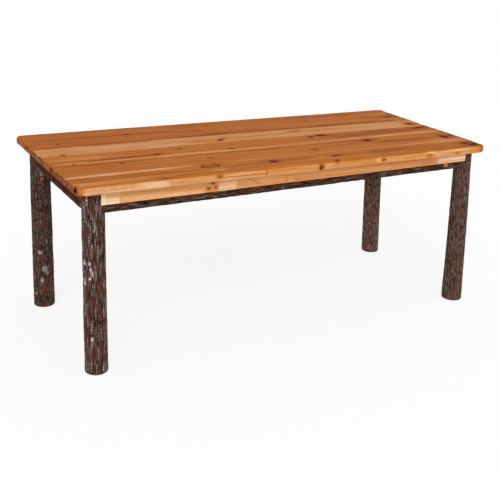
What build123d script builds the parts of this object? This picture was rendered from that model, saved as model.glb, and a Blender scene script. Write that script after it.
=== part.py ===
from build123d import *
from collections import namedtuple
from math import hypot, sqrt
import os

# Rustic hickory farm table: a glued-up board top on a frame of plain aprons and bark-on rails,
# let into notches in four bark-on log legs and bolted to them through corner blocks.
# Millimetres, +Z up. +X runs along the table and -Y is its front. The origin is on the floor,
# under the centre of the top.

# ---------------------------------------------------------------- driving dimensions

# Whole table
table_length = 1829.0
table_width = 787.0
table_height = 724.0

# Top: the inner boards have their own widths, and the outer two run out to the edges
top_thickness = 28.0
top_corner_radius = 28.0
top_edge_radius = 9.0
under_edge_radius = 4.0
back_joint_y = 265.0
board_2_width = 117.0
board_3_width = 123.0
board_4_width = 138.0
board_5_width = 131.0

# How far the top reaches beyond the aprons' outer faces
end_overhang = 42.0
side_overhang = 36.0

# Legs: natural logs, so each one has its own thickness, and its foot stands a little way out
# (positive) or in (negative) from its head
front_left_head_diameter = 78.0
front_left_foot_diameter = 86.0
front_left_foot_out_x = -1.0
front_left_foot_out_y = -2.0
front_right_head_diameter = 74.0
front_right_foot_diameter = 90.0
front_right_foot_out_x = 16.0
front_right_foot_out_y = 25.0
back_left_head_diameter = 79.0
back_left_foot_diameter = 87.0
back_left_foot_out_x = 5.0
back_left_foot_out_y = 4.0
back_right_head_diameter = 82.0
back_right_foot_diameter = 86.0
back_right_foot_out_x = 28.0
back_right_foot_out_y = -16.0
foot_edge_radius = 5.0

# Aprons: how far the outer face lies outside the leg centre, and how far the end stops short of it
apron_thickness = 22.0
apron_height = 47.5
apron_face_out = 35.5
apron_end_in = 17.0

# Bark-on rail under each apron: a pole planed flat on its top and on its inner side
rail_pole_radius = 17.5
rail_height = 31.0
rail_proud = 5.0

# Notches in the legs
notch_end_gap = 0.2
notch_shelf_gap = 0.5

# Corner blocks
block_thickness = 22.0
block_height = 41.0
block_rise = 3.0
block_leg_gap = 3.0

# Hanger bolts, with their washers and nuts
bolt_diameter = 8.0
bolt_hole_clearance = 0.5
bolt_thread_clearance = 0.1
bolt_reach = 30.0
bolt_tail = 4.0
bolt_pitch = 20.0
washer_diameter = 18.0
washer_thickness = 1.6
nut_width = 13.0
nut_height = 6.5

# Cross rails between the long aprons
cross_rail_from_leg = 437.0
cross_rail_thickness = 22.0
cross_rail_height = 41.0
housing_depth = 5.0
housing_gap = 0.2

# Wooden buttons that hold the top down: each has a tongue in a groove of the apron
button_length = 30.0
button_width = 25.0
button_height = 19.0
button_gap = 1.5
tongue_length = 7.0
tongue_height = 8.0
groove_depth = 7.5
groove_clearance = 0.5
groove_end_margin = 12.0

# Wood screws
screw_diameter = 4.5
screw_head_diameter = 8.5
screw_head_height = 2.8
screw_point = 5.0
screw_tip_diameter = 0.9
pilot_clearance = 0.1
head_clearance = 0.5
screw_into_top = 18.0
screw_into_apron = 14.0
block_screw_pitch = 22.0
block_screw_cover = 8.0
rail_screw_into_apron = 24.0
rail_screw_cover = 18.0
rail_screw_from_end = 130.0
cross_screw_from_apron = 116.0
cross_screw_cover = 24.0

# ---------------------------------------------------------------- places worked out from them

underside = table_height - top_thickness
apron_bottom = underside - apron_height
shelf_z = apron_bottom - rail_height - notch_shelf_gap

# Leg centres at the head, and the inner faces of the aprons
leg_x = table_length / 2 - end_overhang - apron_face_out
leg_y = table_width / 2 - side_overhang - apron_face_out
inner_x = leg_x + apron_face_out - apron_thickness
inner_y = leg_y + apron_face_out - apron_thickness

Leg = namedtuple("Leg", "name side_x side_y head_diameter foot_diameter foot_out_x foot_out_y")
legs = [
    Leg(
        "leg_front_left", -1, -1,
        front_left_head_diameter, front_left_foot_diameter, front_left_foot_out_x, front_left_foot_out_y,
    ),
    Leg(
        "leg_front_right", 1, -1,
        front_right_head_diameter, front_right_foot_diameter, front_right_foot_out_x, front_right_foot_out_y,
    ),
    Leg(
        "leg_back_left", -1, 1,
        back_left_head_diameter, back_left_foot_diameter, back_left_foot_out_x, back_left_foot_out_y,
    ),
    Leg(
        "leg_back_right", 1, 1,
        back_right_head_diameter, back_right_foot_diameter, back_right_foot_out_x, back_right_foot_out_y,
    ),
]

pilot_radius = screw_diameter / 2 + pilot_clearance
head_hole_radius = screw_head_diameter / 2 + head_clearance

# The corner block crosses the corner at 45 degrees, clear of the thickest leg. Its two faces meet
# the aprons at these distances from the inner corner.
thickest_head = max(leg.head_diameter for leg in legs) / 2
leg_inset = inner_x - leg_x + inner_y - leg_y
block_near = leg_inset + sqrt(2) * (thickest_head + block_leg_gap)
block_far = block_near + sqrt(2) * block_thickness
block_bottom = apron_bottom + block_rise
block_middle = block_bottom + block_height / 2
block_screw_along = (block_near + block_far) / 2

# Distances along the bolt, from the leg's centre towards the middle of the table
bolt_start = thickest_head - bolt_reach
block_front_face = thickest_head + block_leg_gap
block_back_face = block_front_face + block_thickness
bolt_end = block_back_face + washer_thickness + nut_height + bolt_tail

# The cross rails part the frame into three bays, and the buttons stand midway along each bay's
# clear stretch. On the short aprons they keep to the middles of the boards above them.
cross_rail_x = leg_x - cross_rail_from_leg
long_clear = inner_x - block_far
short_clear = inner_y - block_far
long_half = leg_x - apron_end_in
short_half = leg_y - apron_end_in
outer_button = (cross_rail_x + long_clear) / 2
inner_button = cross_rail_x / 2
long_buttons = (-outer_button, -inner_button, inner_button, outer_button)
short_buttons = (-short_clear * 0.4, short_clear * 0.4)
outer_screw = long_half - rail_screw_from_end
long_screws = (-outer_screw, -outer_screw / 3, outer_screw / 3, outer_screw)
short_screws = (rail_screw_from_end - short_half, short_half - rail_screw_from_end)

# One side of the frame: its outward direction, the distance of the apron's inner face from the
# middle of the table, half the apron's length, half its length clear of the corner blocks, and the
# places along it of the rail's screws and of the buttons
Side = namedtuple("Side", "name out inner_face half_length clear_half screw_places button_places")
sides = [
    Side("front", Vector(0, -1, 0), inner_y, long_half, long_clear, long_screws, long_buttons),
    Side("back", Vector(0, 1, 0), inner_y, long_half, long_clear, long_screws, long_buttons),
    Side("left", Vector(-1, 0, 0), inner_x, short_half, short_clear, short_screws, short_buttons),
    Side("right", Vector(1, 0, 0), inner_x, short_half, short_clear, short_screws, short_buttons),
]
up = Vector(0, 0, 1)
corners = [(leg.side_x, leg.side_y) for leg in legs]


def side_point(side, along, out, height):
    """A point of a side: `along` the apron, `out` from its inner face, at a height."""
    run = side.out.cross(up)
    return run * along + side.out * (side.inner_face + out) + up * height


def section_plane(side, height):
    """The plane across a side's middle: its x points outwards, its y up, its z along the side."""
    return Plane(origin=side_point(side, 0, 0, height), x_dir=side.out, z_dir=side.out.cross(up))


def seat_below(point):
    """A plane that faces down at a point, for a screw driven upwards."""
    return Plane(origin=point, x_dir=(1, 0, 0), z_dir=(0, 0, -1))


def bolt_plane(side_x, side_y, distance, height):
    """The plane across a corner's bolt, `distance` from the leg's centre, facing inwards."""
    inwards = Vector(-side_x, -side_y, 0).normalized()
    centre = Vector(side_x * leg_x, side_y * leg_y, height)
    return Plane(origin=centre + inwards * distance, z_dir=inwards)


def block_screw_seats(side_x, side_y):
    """The four planes on which the heads of a corner block's screws rest."""
    seats = []
    for height in (block_middle - block_screw_pitch / 2, block_middle + block_screw_pitch / 2):
        at_long = (side_x * (inner_x - block_screw_along), side_y * (inner_y - block_screw_cover), height)
        at_short = (side_x * (inner_x - block_screw_cover), side_y * (inner_y - block_screw_along), height)
        seats.append(Plane(origin=at_long, z_dir=(0, -side_y, 0)))
        seats.append(Plane(origin=at_short, z_dir=(-side_x, 0, 0)))
    return seats


def wood_screw(seat, length):
    """A screw whose head rests on a plane; its shank runs `length` the other way, to its point."""
    above = (Align.CENTER, Align.CENTER, Align.MIN)
    below = (Align.CENTER, Align.CENTER, Align.MAX)
    with Locations(seat):
        Cylinder(screw_head_diameter / 2, screw_head_height, align=above)
        Cylinder(screw_diameter / 2, length - screw_point, align=below)
    with Locations(seat.offset(screw_point - length)):
        Cone(screw_tip_diameter / 2, screw_diameter / 2, screw_point, align=below)


def save(piece, name):
    """Label a finished piece and write its file."""
    piece.label = name
    export_step(piece, f"parts/{name}.step")


os.makedirs("parts", exist_ok=True)

# ---------------------------------------------------------------- places of the fasteners

# Heads of the screws that go up into the top, through the buttons and the cross rails
button_screw_seats = [
    seat_below(side_point(side, along, -button_gap - button_length / 2, underside - button_height))
    for side in sides
    for along in side.button_places
]
cross_screw_seat_z = underside - cross_screw_cover
cross_screw_y = inner_y - cross_screw_from_apron
cross_screw_seats = [
    seat_below(Vector(x, y, cross_screw_seat_z))
    for x in (-cross_rail_x, cross_rail_x)
    for y in (-cross_screw_y, 0, cross_screw_y)
]

# Heads of the screws that hold each bark rail up to its apron
rail_screw_seats = {
    side.name: [
        seat_below(side_point(side, along, apron_thickness / 2, apron_bottom - rail_screw_cover))
        for along in side.screw_places
    ]
    for side in sides
}

bolt_heights = (block_middle - bolt_pitch / 2, block_middle + bolt_pitch / 2)

# ---------------------------------------------------------------- top boards

with BuildPart() as top_blank:
    with BuildSketch(Plane.XY.offset(underside)):
        RectangleRounded(table_length, table_width, top_corner_radius)
    extrude(amount=top_thickness)
    fillet(top_blank.faces().sort_by(Axis.Z)[-1].edges(), top_edge_radius)
    fillet(top_blank.faces().sort_by(Axis.Z)[0].edges(), under_edge_radius)
    for seat in button_screw_seats + cross_screw_seats:
        with Locations(Plane(origin=(seat.origin.X, seat.origin.Y, underside), z_dir=(0, 0, -1))):
            Hole(pilot_radius, depth=screw_into_top + pilot_clearance)

joints_y = [back_joint_y]
for width in (board_2_width, board_3_width, board_4_width, board_5_width):
    joints_y.append(joints_y[-1] - width)
board_edges = [table_width / 2, *joints_y, -table_width / 2]

for number, (back, front) in enumerate(zip(board_edges, board_edges[1:]), start=1):
    with BuildPart() as top_board:
        add(top_blank.part)
        with BuildSketch(Plane.XY.offset(underside)):
            with Locations((0, (back + front) / 2)):
                Rectangle(table_length, back - front)
        extrude(amount=top_thickness, mode=Mode.INTERSECT)
    save(top_board.part, f"top_board_{number}")

# ---------------------------------------------------------------- log legs

for leg in legs:
    foot_x = leg.side_x * (leg_x + leg.foot_out_x)
    foot_y = leg.side_y * (leg_y + leg.foot_out_y)
    wide = max(leg.head_diameter, leg.foot_diameter) + hypot(leg.foot_out_x, leg.foot_out_y)
    with BuildPart() as log:
        with BuildSketch(Plane.XY):
            with Locations((foot_x, foot_y)):
                Circle(leg.foot_diameter / 2)
        with BuildSketch(Plane.XY.offset(underside)):
            with Locations((leg.side_x * leg_x, leg.side_y * leg_y)):
                Circle(leg.head_diameter / 2)
        loft()
        fillet(log.faces().sort_by(Axis.Z)[0].edges(), foot_edge_radius)
        # One notch for the long apron and its rail, and one for the short ones
        with BuildSketch(Plane.XY.offset(shelf_z)):
            with Locations(
                (leg.side_x * (long_half + notch_end_gap - wide / 2), leg.side_y * (inner_y + wide / 2)),
                (leg.side_x * (inner_x + wide / 2), leg.side_y * (short_half + notch_end_gap - wide / 2)),
            ):
                Rectangle(wide, wide)
        extrude(amount=underside - shelf_z, mode=Mode.SUBTRACT)
        for height in bolt_heights:
            with Locations(bolt_plane(leg.side_x, leg.side_y, wide / 2, height)):
                Hole(bolt_diameter / 2 + bolt_thread_clearance, depth=wide / 2 - bolt_start)
    save(log.part, leg.name)

# ---------------------------------------------------------------- aprons

for side in sides:
    groove_top = underside - button_height + tongue_height + groove_clearance
    groove_height = tongue_height + 2 * groove_clearance
    with BuildPart() as apron:
        with BuildSketch(section_plane(side, apron_bottom)):
            Rectangle(apron_thickness, apron_height, align=(Align.MIN, Align.MIN))
        extrude(amount=side.half_length, both=True)
        with BuildSketch(section_plane(side, groove_top)):
            Rectangle(groove_depth, groove_height, align=(Align.MIN, Align.MAX))
        extrude(amount=side.clear_half - groove_end_margin, both=True, mode=Mode.SUBTRACT)
        if side.out.X == 0:
            with BuildSketch(Plane.XY.offset(underside - cross_rail_height - housing_gap)):
                face_y = side.out.Y * side.inner_face
                with Locations((-cross_rail_x, face_y), (cross_rail_x, face_y)):
                    Rectangle(cross_rail_thickness + 2 * housing_gap, 2 * (housing_depth + housing_gap))
            extrude(amount=cross_rail_height + housing_gap, mode=Mode.SUBTRACT)
        for seat in rail_screw_seats[side.name]:
            with Locations(seat.offset(-rail_screw_cover)):
                Hole(pilot_radius, depth=rail_screw_into_apron + pilot_clearance)
        for side_x, side_y in corners:
            for seat in block_screw_seats(side_x, side_y):
                if seat.z_dir.dot(side.out) < -0.5:
                    with Locations(seat.offset(-block_screw_cover)):
                        Hole(pilot_radius, depth=screw_into_apron + pilot_clearance)
    save(apron.part, f"apron_{side.name}")

# ---------------------------------------------------------------- bark-on rails

for side in sides:
    pole_out = apron_thickness + rail_proud - rail_pole_radius
    pole_up = rail_pole_radius - rail_height
    with BuildPart() as bark_rail:
        with BuildSketch(section_plane(side, apron_bottom)):
            with Locations((pole_out, pole_up)):
                Circle(rail_pole_radius)
            planed = (pole_out + rail_pole_radius, rail_height)
            Rectangle(*planed, align=(Align.MIN, Align.MAX), mode=Mode.INTERSECT)
        extrude(amount=side.half_length, both=True)
        for seat in rail_screw_seats[side.name]:
            with Locations(seat.offset(rail_height - rail_screw_cover)):
                CounterBoreHole(pilot_radius, head_hole_radius, rail_height - rail_screw_cover, rail_height)
    save(bark_rail.part, f"bark_rail_{side.name}")

# ---------------------------------------------------------------- corner blocks

for leg in legs:
    side_x, side_y = leg.side_x, leg.side_y
    with BuildPart() as corner_block:
        with BuildSketch(Plane.XY.offset(block_bottom)):
            with BuildLine():
                Polyline(
                    (side_x * (inner_x - block_near), side_y * inner_y),
                    (side_x * (inner_x - block_far), side_y * inner_y),
                    (side_x * inner_x, side_y * (inner_y - block_far)),
                    (side_x * inner_x, side_y * (inner_y - block_near)),
                    close=True,
                )
            make_face()
        extrude(amount=block_height)
        for height in bolt_heights:
            with Locations(bolt_plane(side_x, side_y, block_back_face, height)):
                Hole(bolt_diameter / 2 + bolt_hole_clearance, depth=block_thickness)
        for seat in block_screw_seats(side_x, side_y):
            with Locations(seat.offset(block_thickness)):
                CounterBoreHole(
                    pilot_radius, head_hole_radius, block_thickness, block_thickness + block_screw_cover
                )
    save(corner_block.part, leg.name.replace("leg", "corner_block"))

# ---------------------------------------------------------------- cross rails

for name, x in (("cross_rail_left", -cross_rail_x), ("cross_rail_right", cross_rail_x)):
    with BuildPart() as cross_rail:
        with BuildSketch(Plane.XY.offset(underside - cross_rail_height)):
            with Locations((x, 0)):
                Rectangle(cross_rail_thickness, 2 * (inner_y + housing_depth))
        extrude(amount=cross_rail_height)
        for seat in cross_screw_seats:
            if seat.origin.X == x:
                with Locations(seat.offset(cross_rail_height - cross_screw_cover)):
                    head_depth = cross_rail_height - cross_screw_cover
                    CounterBoreHole(pilot_radius, head_hole_radius, head_depth, cross_rail_height)
    save(cross_rail.part, name)

# ---------------------------------------------------------------- buttons

with BuildPart() as top_buttons:
    for side in sides:
        for along in side.button_places:
            across = Plane(
                origin=side_point(side, along, -button_gap, underside - button_height),
                x_dir=side.out,
                z_dir=side.out.cross(up),
            )
            with BuildSketch(across):
                Rectangle(button_length, button_height, align=(Align.MAX, Align.MIN))
                Rectangle(button_gap + tongue_length, tongue_height, align=(Align.MIN, Align.MIN))
            extrude(amount=button_width / 2, both=True)
    for seat in button_screw_seats:
        with Locations(seat):
            Hole(pilot_radius, depth=button_height)
save(top_buttons.part, "top_buttons")

# ---------------------------------------------------------------- bolts, washers, nuts

with BuildPart() as hanger_bolts:
    for side_x, side_y in corners:
        for height in bolt_heights:
            with BuildSketch(bolt_plane(side_x, side_y, bolt_start, height)):
                Circle(bolt_diameter / 2)
            extrude(amount=bolt_end - bolt_start)
save(hanger_bolts.part, "hanger_bolts")

with BuildPart() as bolt_washers:
    for side_x, side_y in corners:
        for height in bolt_heights:
            with BuildSketch(bolt_plane(side_x, side_y, block_back_face, height)):
                Circle(washer_diameter / 2)
                Circle(bolt_diameter / 2 + bolt_hole_clearance, mode=Mode.SUBTRACT)
            extrude(amount=washer_thickness)
save(bolt_washers.part, "bolt_washers")

with BuildPart() as bolt_nuts:
    for side_x, side_y in corners:
        for height in bolt_heights:
            with BuildSketch(bolt_plane(side_x, side_y, block_back_face + washer_thickness, height)):
                RegularPolygon(nut_width / 2, 6, major_radius=False)
                Circle(bolt_diameter / 2 + bolt_thread_clearance, mode=Mode.SUBTRACT)
            extrude(amount=nut_height)
save(bolt_nuts.part, "bolt_nuts")

# ---------------------------------------------------------------- wood screws

with BuildPart() as block_screws:
    for side_x, side_y in corners:
        for seat in block_screw_seats(side_x, side_y):
            wood_screw(seat, block_screw_cover + screw_into_apron)
save(block_screws.part, "block_screws")

with BuildPart() as rail_screws:
    for seats in rail_screw_seats.values():
        for seat in seats:
            wood_screw(seat, rail_screw_cover + rail_screw_into_apron)
save(rail_screws.part, "rail_screws")

with BuildPart() as button_screws:
    for seat in button_screw_seats:
        wood_screw(seat, button_height + screw_into_top)
save(button_screws.part, "button_screws")

with BuildPart() as cross_rail_screws:
    for seat in cross_screw_seats:
        wood_screw(seat, cross_screw_cover + screw_into_top)
save(cross_rail_screws.part, "cross_rail_screws")
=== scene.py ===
"""Looks of the rustic hickory table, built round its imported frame.

A glued-up knotty board top on pale aprons and bark-on rails, let into four bark-on log legs.
Metres, +Z up. +X runs along the table and -Y is its front; the origin is on the floor under
the centre of the top.
"""

import itertools
import logging
import math
from dataclasses import dataclass, replace
from enum import Enum

import bpy
import numpy as np
from mathutils import Matrix, Vector


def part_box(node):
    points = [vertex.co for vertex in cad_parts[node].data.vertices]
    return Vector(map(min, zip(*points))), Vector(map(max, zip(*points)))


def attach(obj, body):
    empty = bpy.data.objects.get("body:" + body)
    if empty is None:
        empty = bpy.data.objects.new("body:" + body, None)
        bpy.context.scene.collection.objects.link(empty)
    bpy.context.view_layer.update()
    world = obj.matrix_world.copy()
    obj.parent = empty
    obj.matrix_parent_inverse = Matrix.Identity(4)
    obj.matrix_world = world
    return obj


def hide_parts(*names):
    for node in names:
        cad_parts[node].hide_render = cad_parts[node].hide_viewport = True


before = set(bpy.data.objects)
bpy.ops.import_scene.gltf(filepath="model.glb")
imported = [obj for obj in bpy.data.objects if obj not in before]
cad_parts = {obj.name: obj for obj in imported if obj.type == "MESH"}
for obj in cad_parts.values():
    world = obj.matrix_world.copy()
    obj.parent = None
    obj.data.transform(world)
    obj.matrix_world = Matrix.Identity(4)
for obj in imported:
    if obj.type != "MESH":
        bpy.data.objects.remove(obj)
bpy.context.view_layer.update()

log = logging.getLogger("hickory_table")

Array = np.ndarray
Material = bpy.types.Material
Node = bpy.types.Node
Piece = bpy.types.Object
Socket = bpy.types.NodeSocket
Pair = tuple[float, float]
Triple = tuple[float, float, float]
Colour = tuple[float, float, float, float]
Stops = tuple[tuple[float, Colour], ...]
Fields = dict[str, Array]
Shell = tuple[list, list]

MM = 0.001
BODY = "root"

# The heights of the top's two faces, the places of its right end and its front edge, and how
# far an apron's face lies in front of its inner side. Millimetres.
SLAB_TOP = 724.0
SLAB_UNDER = 696.0
RIGHT_END = 914.5
FRONT_EDGE = -393.5
APRON_FACE = 22.0


def paint(red: int, green: int, blue: int) -> Colour:
    """A colour from its 0 to 255 values, in the linear light that shaders use.

    Args:
        red: Red, 0 to 255.
        green: Green, 0 to 255.
        blue: Blue, 0 to 255.

    Returns:
        The linear red, green and blue, with an alpha of 1.
    """
    parts = [part / 255 for part in (red, green, blue)]
    linear = [part / 12.92 if part <= 0.04045 else ((part + 0.055) / 1.055) ** 2.4 for part in parts]
    return (linear[0], linear[1], linear[2], 1.0)


# ---------------- random fields for shapes


# Large odd numbers that scatter the lattice's cells, and how far each layer of hills is shifted.
SEED_STEP = 7919
SALT_STEP = 104729
CELL_STEPS = (73856093, 19349663, 83492791)
CELL_SCRAMBLE = np.uint32(0x846CA68B)
LAST_SCRAMBLE = np.uint32(0x7FEB352D)
LAYER_SHIFT = 17.3


class Noise:
    """Repeatable random fields over space, for shapes and for the fields that finishes read."""

    def __init__(self, seed: int) -> None:
        """Keep the seed that every lattice number comes from."""
        self.seed = seed

    def _lattice(self, cells: Array, salt: int) -> Array:
        """A random number for each whole-number cell.

        Args:
            cells: Whole-number cells, three to a row.
            salt: Picks one of several independent sets of numbers.

        Returns:
            Numbers from 0 to 1, one for each cell.
        """
        start = (self.seed * SEED_STEP + salt * SALT_STEP + 1) % 2**32
        mixed = np.full(cells.shape[:-1], start, np.uint32)
        for axis, step in enumerate(CELL_STEPS):
            mixed = mixed ^ (cells[..., axis] * step & 0xFFFFFFFF).astype(np.uint32)
            mixed = (mixed ^ (mixed >> 15)) * CELL_SCRAMBLE
        mixed = (mixed ^ (mixed >> 16)) * LAST_SCRAMBLE
        return (mixed ^ (mixed >> 16)) / 2**32

    def smooth(self, points: Array, size: Triple) -> Array:
        """Soft hills and hollows.

        Args:
            points: Places, three numbers to a row.
            size: How long a hill is along each axis.

        Returns:
            Heights from -1 to 1, one for each place.
        """
        scaled = points / np.array(size)
        cells = np.floor(scaled).astype(np.int64)
        share = scaled - cells
        share = share**3 * (share * (share * 6 - 15) + 10)
        total = np.zeros(len(points))
        for corner in itertools.product((0, 1), repeat=3):
            weight = np.prod(np.where(corner, share, 1 - share), axis=-1)
            total += weight * self._lattice(cells + np.array(corner), 0)
        return 2 * total - 1

    def layered(self, points: Array, size: Triple, layers: int) -> Array:
        """Hills with smaller hills on them.

        Args:
            points: Places, three numbers to a row.
            size: How long the largest hill is along each axis.
            layers: How many sizes of hill, each half the last.

        Returns:
            Heights from about -1 to 1, one for each place.
        """
        total = np.zeros(len(points))
        for layer in range(layers):
            part = np.array(size) / 2**layer
            total += self.smooth(points + LAYER_SHIFT * layer, tuple(part)) / 2**layer
        return total / (2 - 2 ** (1 - layers))

    def plates(self, points: Array, size: Triple) -> tuple[Array, Array]:
        """Irregular plates, as a cracked skin has.

        Args:
            points: Places, three numbers to a row.
            size: How long a plate is along each axis.

        Returns:
            How far each place is from its plate's rim, in plates, and its plate's random number.
        """
        scaled = points / np.array(size)
        cells = np.floor(scaled).astype(np.int64)
        nearest = np.full(len(points), 9.0)
        second = np.full(len(points), 9.0)
        number = np.zeros(len(points))
        for step in itertools.product((-1, 0, 1), repeat=3):
            near = cells + np.array(step)
            centre = near + np.stack([self._lattice(near, salt) for salt in (1, 2, 3)], axis=-1)
            distance = np.linalg.norm(scaled - centre, axis=-1)
            closer = distance < nearest
            second = np.where(closer, nearest, np.minimum(second, distance))
            number = np.where(closer, self._lattice(near, 4), number)
            nearest = np.minimum(nearest, distance)
        return second - nearest, number


def ease(values: Array, low: float, high: float) -> Array:
    """A smooth step from 0 at low to 1 at high, which may also run downwards."""
    share = np.clip((values - low) / (high - low), 0, 1)
    return share * share * (3 - 2 * share)


# ---------------- shader nodes


class Value:
    """A socket that carries one number. Arithmetic on it adds Math nodes."""

    def __init__(self, graph: "Graph", socket: Socket) -> None:
        """Wrap one socket of a graph."""
        self.graph = graph
        self.socket = socket

    def _math(self, operation: str, first: object, second: object = 0.0) -> "Value":
        """The result of one Math node, on values or numbers."""
        made = self.graph.node("ShaderNodeMath", {"operation": operation}, {0: first, 1: second})
        return Value(self.graph, made.outputs[0])

    def __add__(self, other: object) -> "Value":
        """This value plus another."""
        return self._math("ADD", self, other)

    __radd__ = __add__

    def __sub__(self, other: object) -> "Value":
        """This value less another."""
        return self._math("SUBTRACT", self, other)

    def __rsub__(self, other: object) -> "Value":
        """Another value less this one."""
        return self._math("SUBTRACT", other, self)

    def __mul__(self, other: object) -> "Value":
        """This value times another."""
        return self._math("MULTIPLY", self, other)

    __rmul__ = __mul__

    def __abs__(self) -> "Value":
        """This value without its sign."""
        return self._math("ABSOLUTE", self)

    def at_most(self, other: object) -> "Value":
        """The smaller of this value and another."""
        return self._math("MINIMUM", self, other)

    def ease(self, low: float, high: float) -> "Value":
        """A smooth step of this value.

        Args:
            low: Where the step starts, at 0.
            high: Where it ends, at 1. It may lie below low.

        Returns:
            A value from 0 to 1.
        """
        first, last = (0.0, 1.0) if low < high else (1.0, 0.0)
        inputs = {0: self, 1: min(low, high), 2: max(low, high), 3: first, 4: last}
        settings = {"interpolation_type": "SMOOTHSTEP"}
        made = self.graph.node("ShaderNodeMapRange", settings, inputs)
        return Value(self.graph, made.outputs[0])


class Graph:
    """A node tree, and the one way in which nodes are added to it."""

    def __init__(self, tree: bpy.types.NodeTree) -> None:
        """Start on an emptied node tree."""
        self.tree = tree
        tree.nodes.clear()

    def node(self, kind: str, settings: dict | None = None, inputs: dict | None = None) -> Node:
        """Add one node.

        Args:
            kind: The node's type.
            settings: Its settings, set first; "stops" gives a colour ramp's stops.
            inputs: Values or links of its sockets, by name or number.

        Returns:
            The new node.
        """
        made = self.tree.nodes.new(kind)
        for key, setting in (settings or {}).items():
            if key == "stops":
                elements = made.color_ramp.elements
                while len(elements) < len(setting):
                    elements.new(1.0)
                for element, (position, colour) in zip(elements, setting):
                    element.position = position
                    element.color = colour
            else:
                setattr(made, key, setting)
        for key, given in (inputs or {}).items():
            source = given.socket if isinstance(given, Value) else given
            if isinstance(source, Socket):
                self.tree.links.new(source, made.inputs[key])
            else:
                made.inputs[key].default_value = source
        return made

    def attribute(self, name: str) -> Node:
        """The node that reads a named field of the mesh."""
        return self.node("ShaderNodeAttribute", {"attribute_name": name})

    def number(self, name: str) -> Value:
        """A named field of the mesh that holds one number."""
        return Value(self, self.attribute(name).outputs["Fac"])

    def vector(self, operation: str, first: object, second: object) -> Socket:
        """The result of one Vector Math node, on a vector and a vector or three numbers."""
        made = self.node("ShaderNodeVectorMath", {"operation": operation}, {0: first, 1: second})
        return made.outputs[0]

    def noise(self, place: Socket, stretch: Triple, detail: float = 2.0, rough: float = 0.5) -> Value:
        """Random hills over a place.

        Args:
            place: Where the surface is.
            stretch: How many hills to a metre along each axis.
            detail: How many finer layers lie on them.
            rough: How strong the finer layers are.

        Returns:
            A value about 0.5.
        """
        scaled = self.vector("MULTIPLY", place, stretch)
        inputs = {"Vector": scaled, "Scale": 1.0, "Detail": detail, "Roughness": rough}
        return Value(self, self.node("ShaderNodeTexNoise", None, inputs).outputs["Fac"])

    def ramp(self, value: Value, stops: Stops) -> Socket:
        """A colour that follows a value along a row of stops."""
        return self.node("ShaderNodeValToRGB", {"stops": stops}, {"Fac": value}).outputs["Color"]

    def mix(self, share: object, first: object, second: object) -> Socket:
        """The first colour with a share of the second laid over it."""
        settings = {"data_type": "RGBA", "clamp_factor": True}
        return self.node("ShaderNodeMix", settings, {0: share, 6: first, 7: second}).outputs[2]

    def finish(
        self, base: object, roughness: object, height: Value, depth: float, **constants: float
    ) -> None:
        """End the tree in a principled surface.

        Args:
            base: Its colour.
            roughness: Its roughness.
            height: The relief of its skin, from 0 to 1.
            depth: How deep that relief is, in millimetres.
            constants: Other sockets' values, by name with _ for a space.
        """
        relief = {"Height": height, "Distance": depth * MM, "Strength": 1.0}
        bump = self.node("ShaderNodeBump", None, relief)
        inputs = {"Base Color": base, "Roughness": roughness, "Normal": bump.outputs["Normal"]}
        inputs.update({name.replace("_", " "): value for name, value in constants.items()})
        surface = self.node("ShaderNodeBsdfPrincipled", None, inputs)
        self.node("ShaderNodeOutputMaterial", None, {"Surface": surface.outputs[0]})


def new_material(name: str) -> tuple[Material, Graph]:
    """A new material to build a finish in.

    Args:
        name: The material's name.

    Returns:
        The material and its emptied graph.
    """
    made = bpy.data.materials.new(name)
    made.use_nodes = True
    return made, Graph(made.node_tree)


# ---------------- finishes


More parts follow.
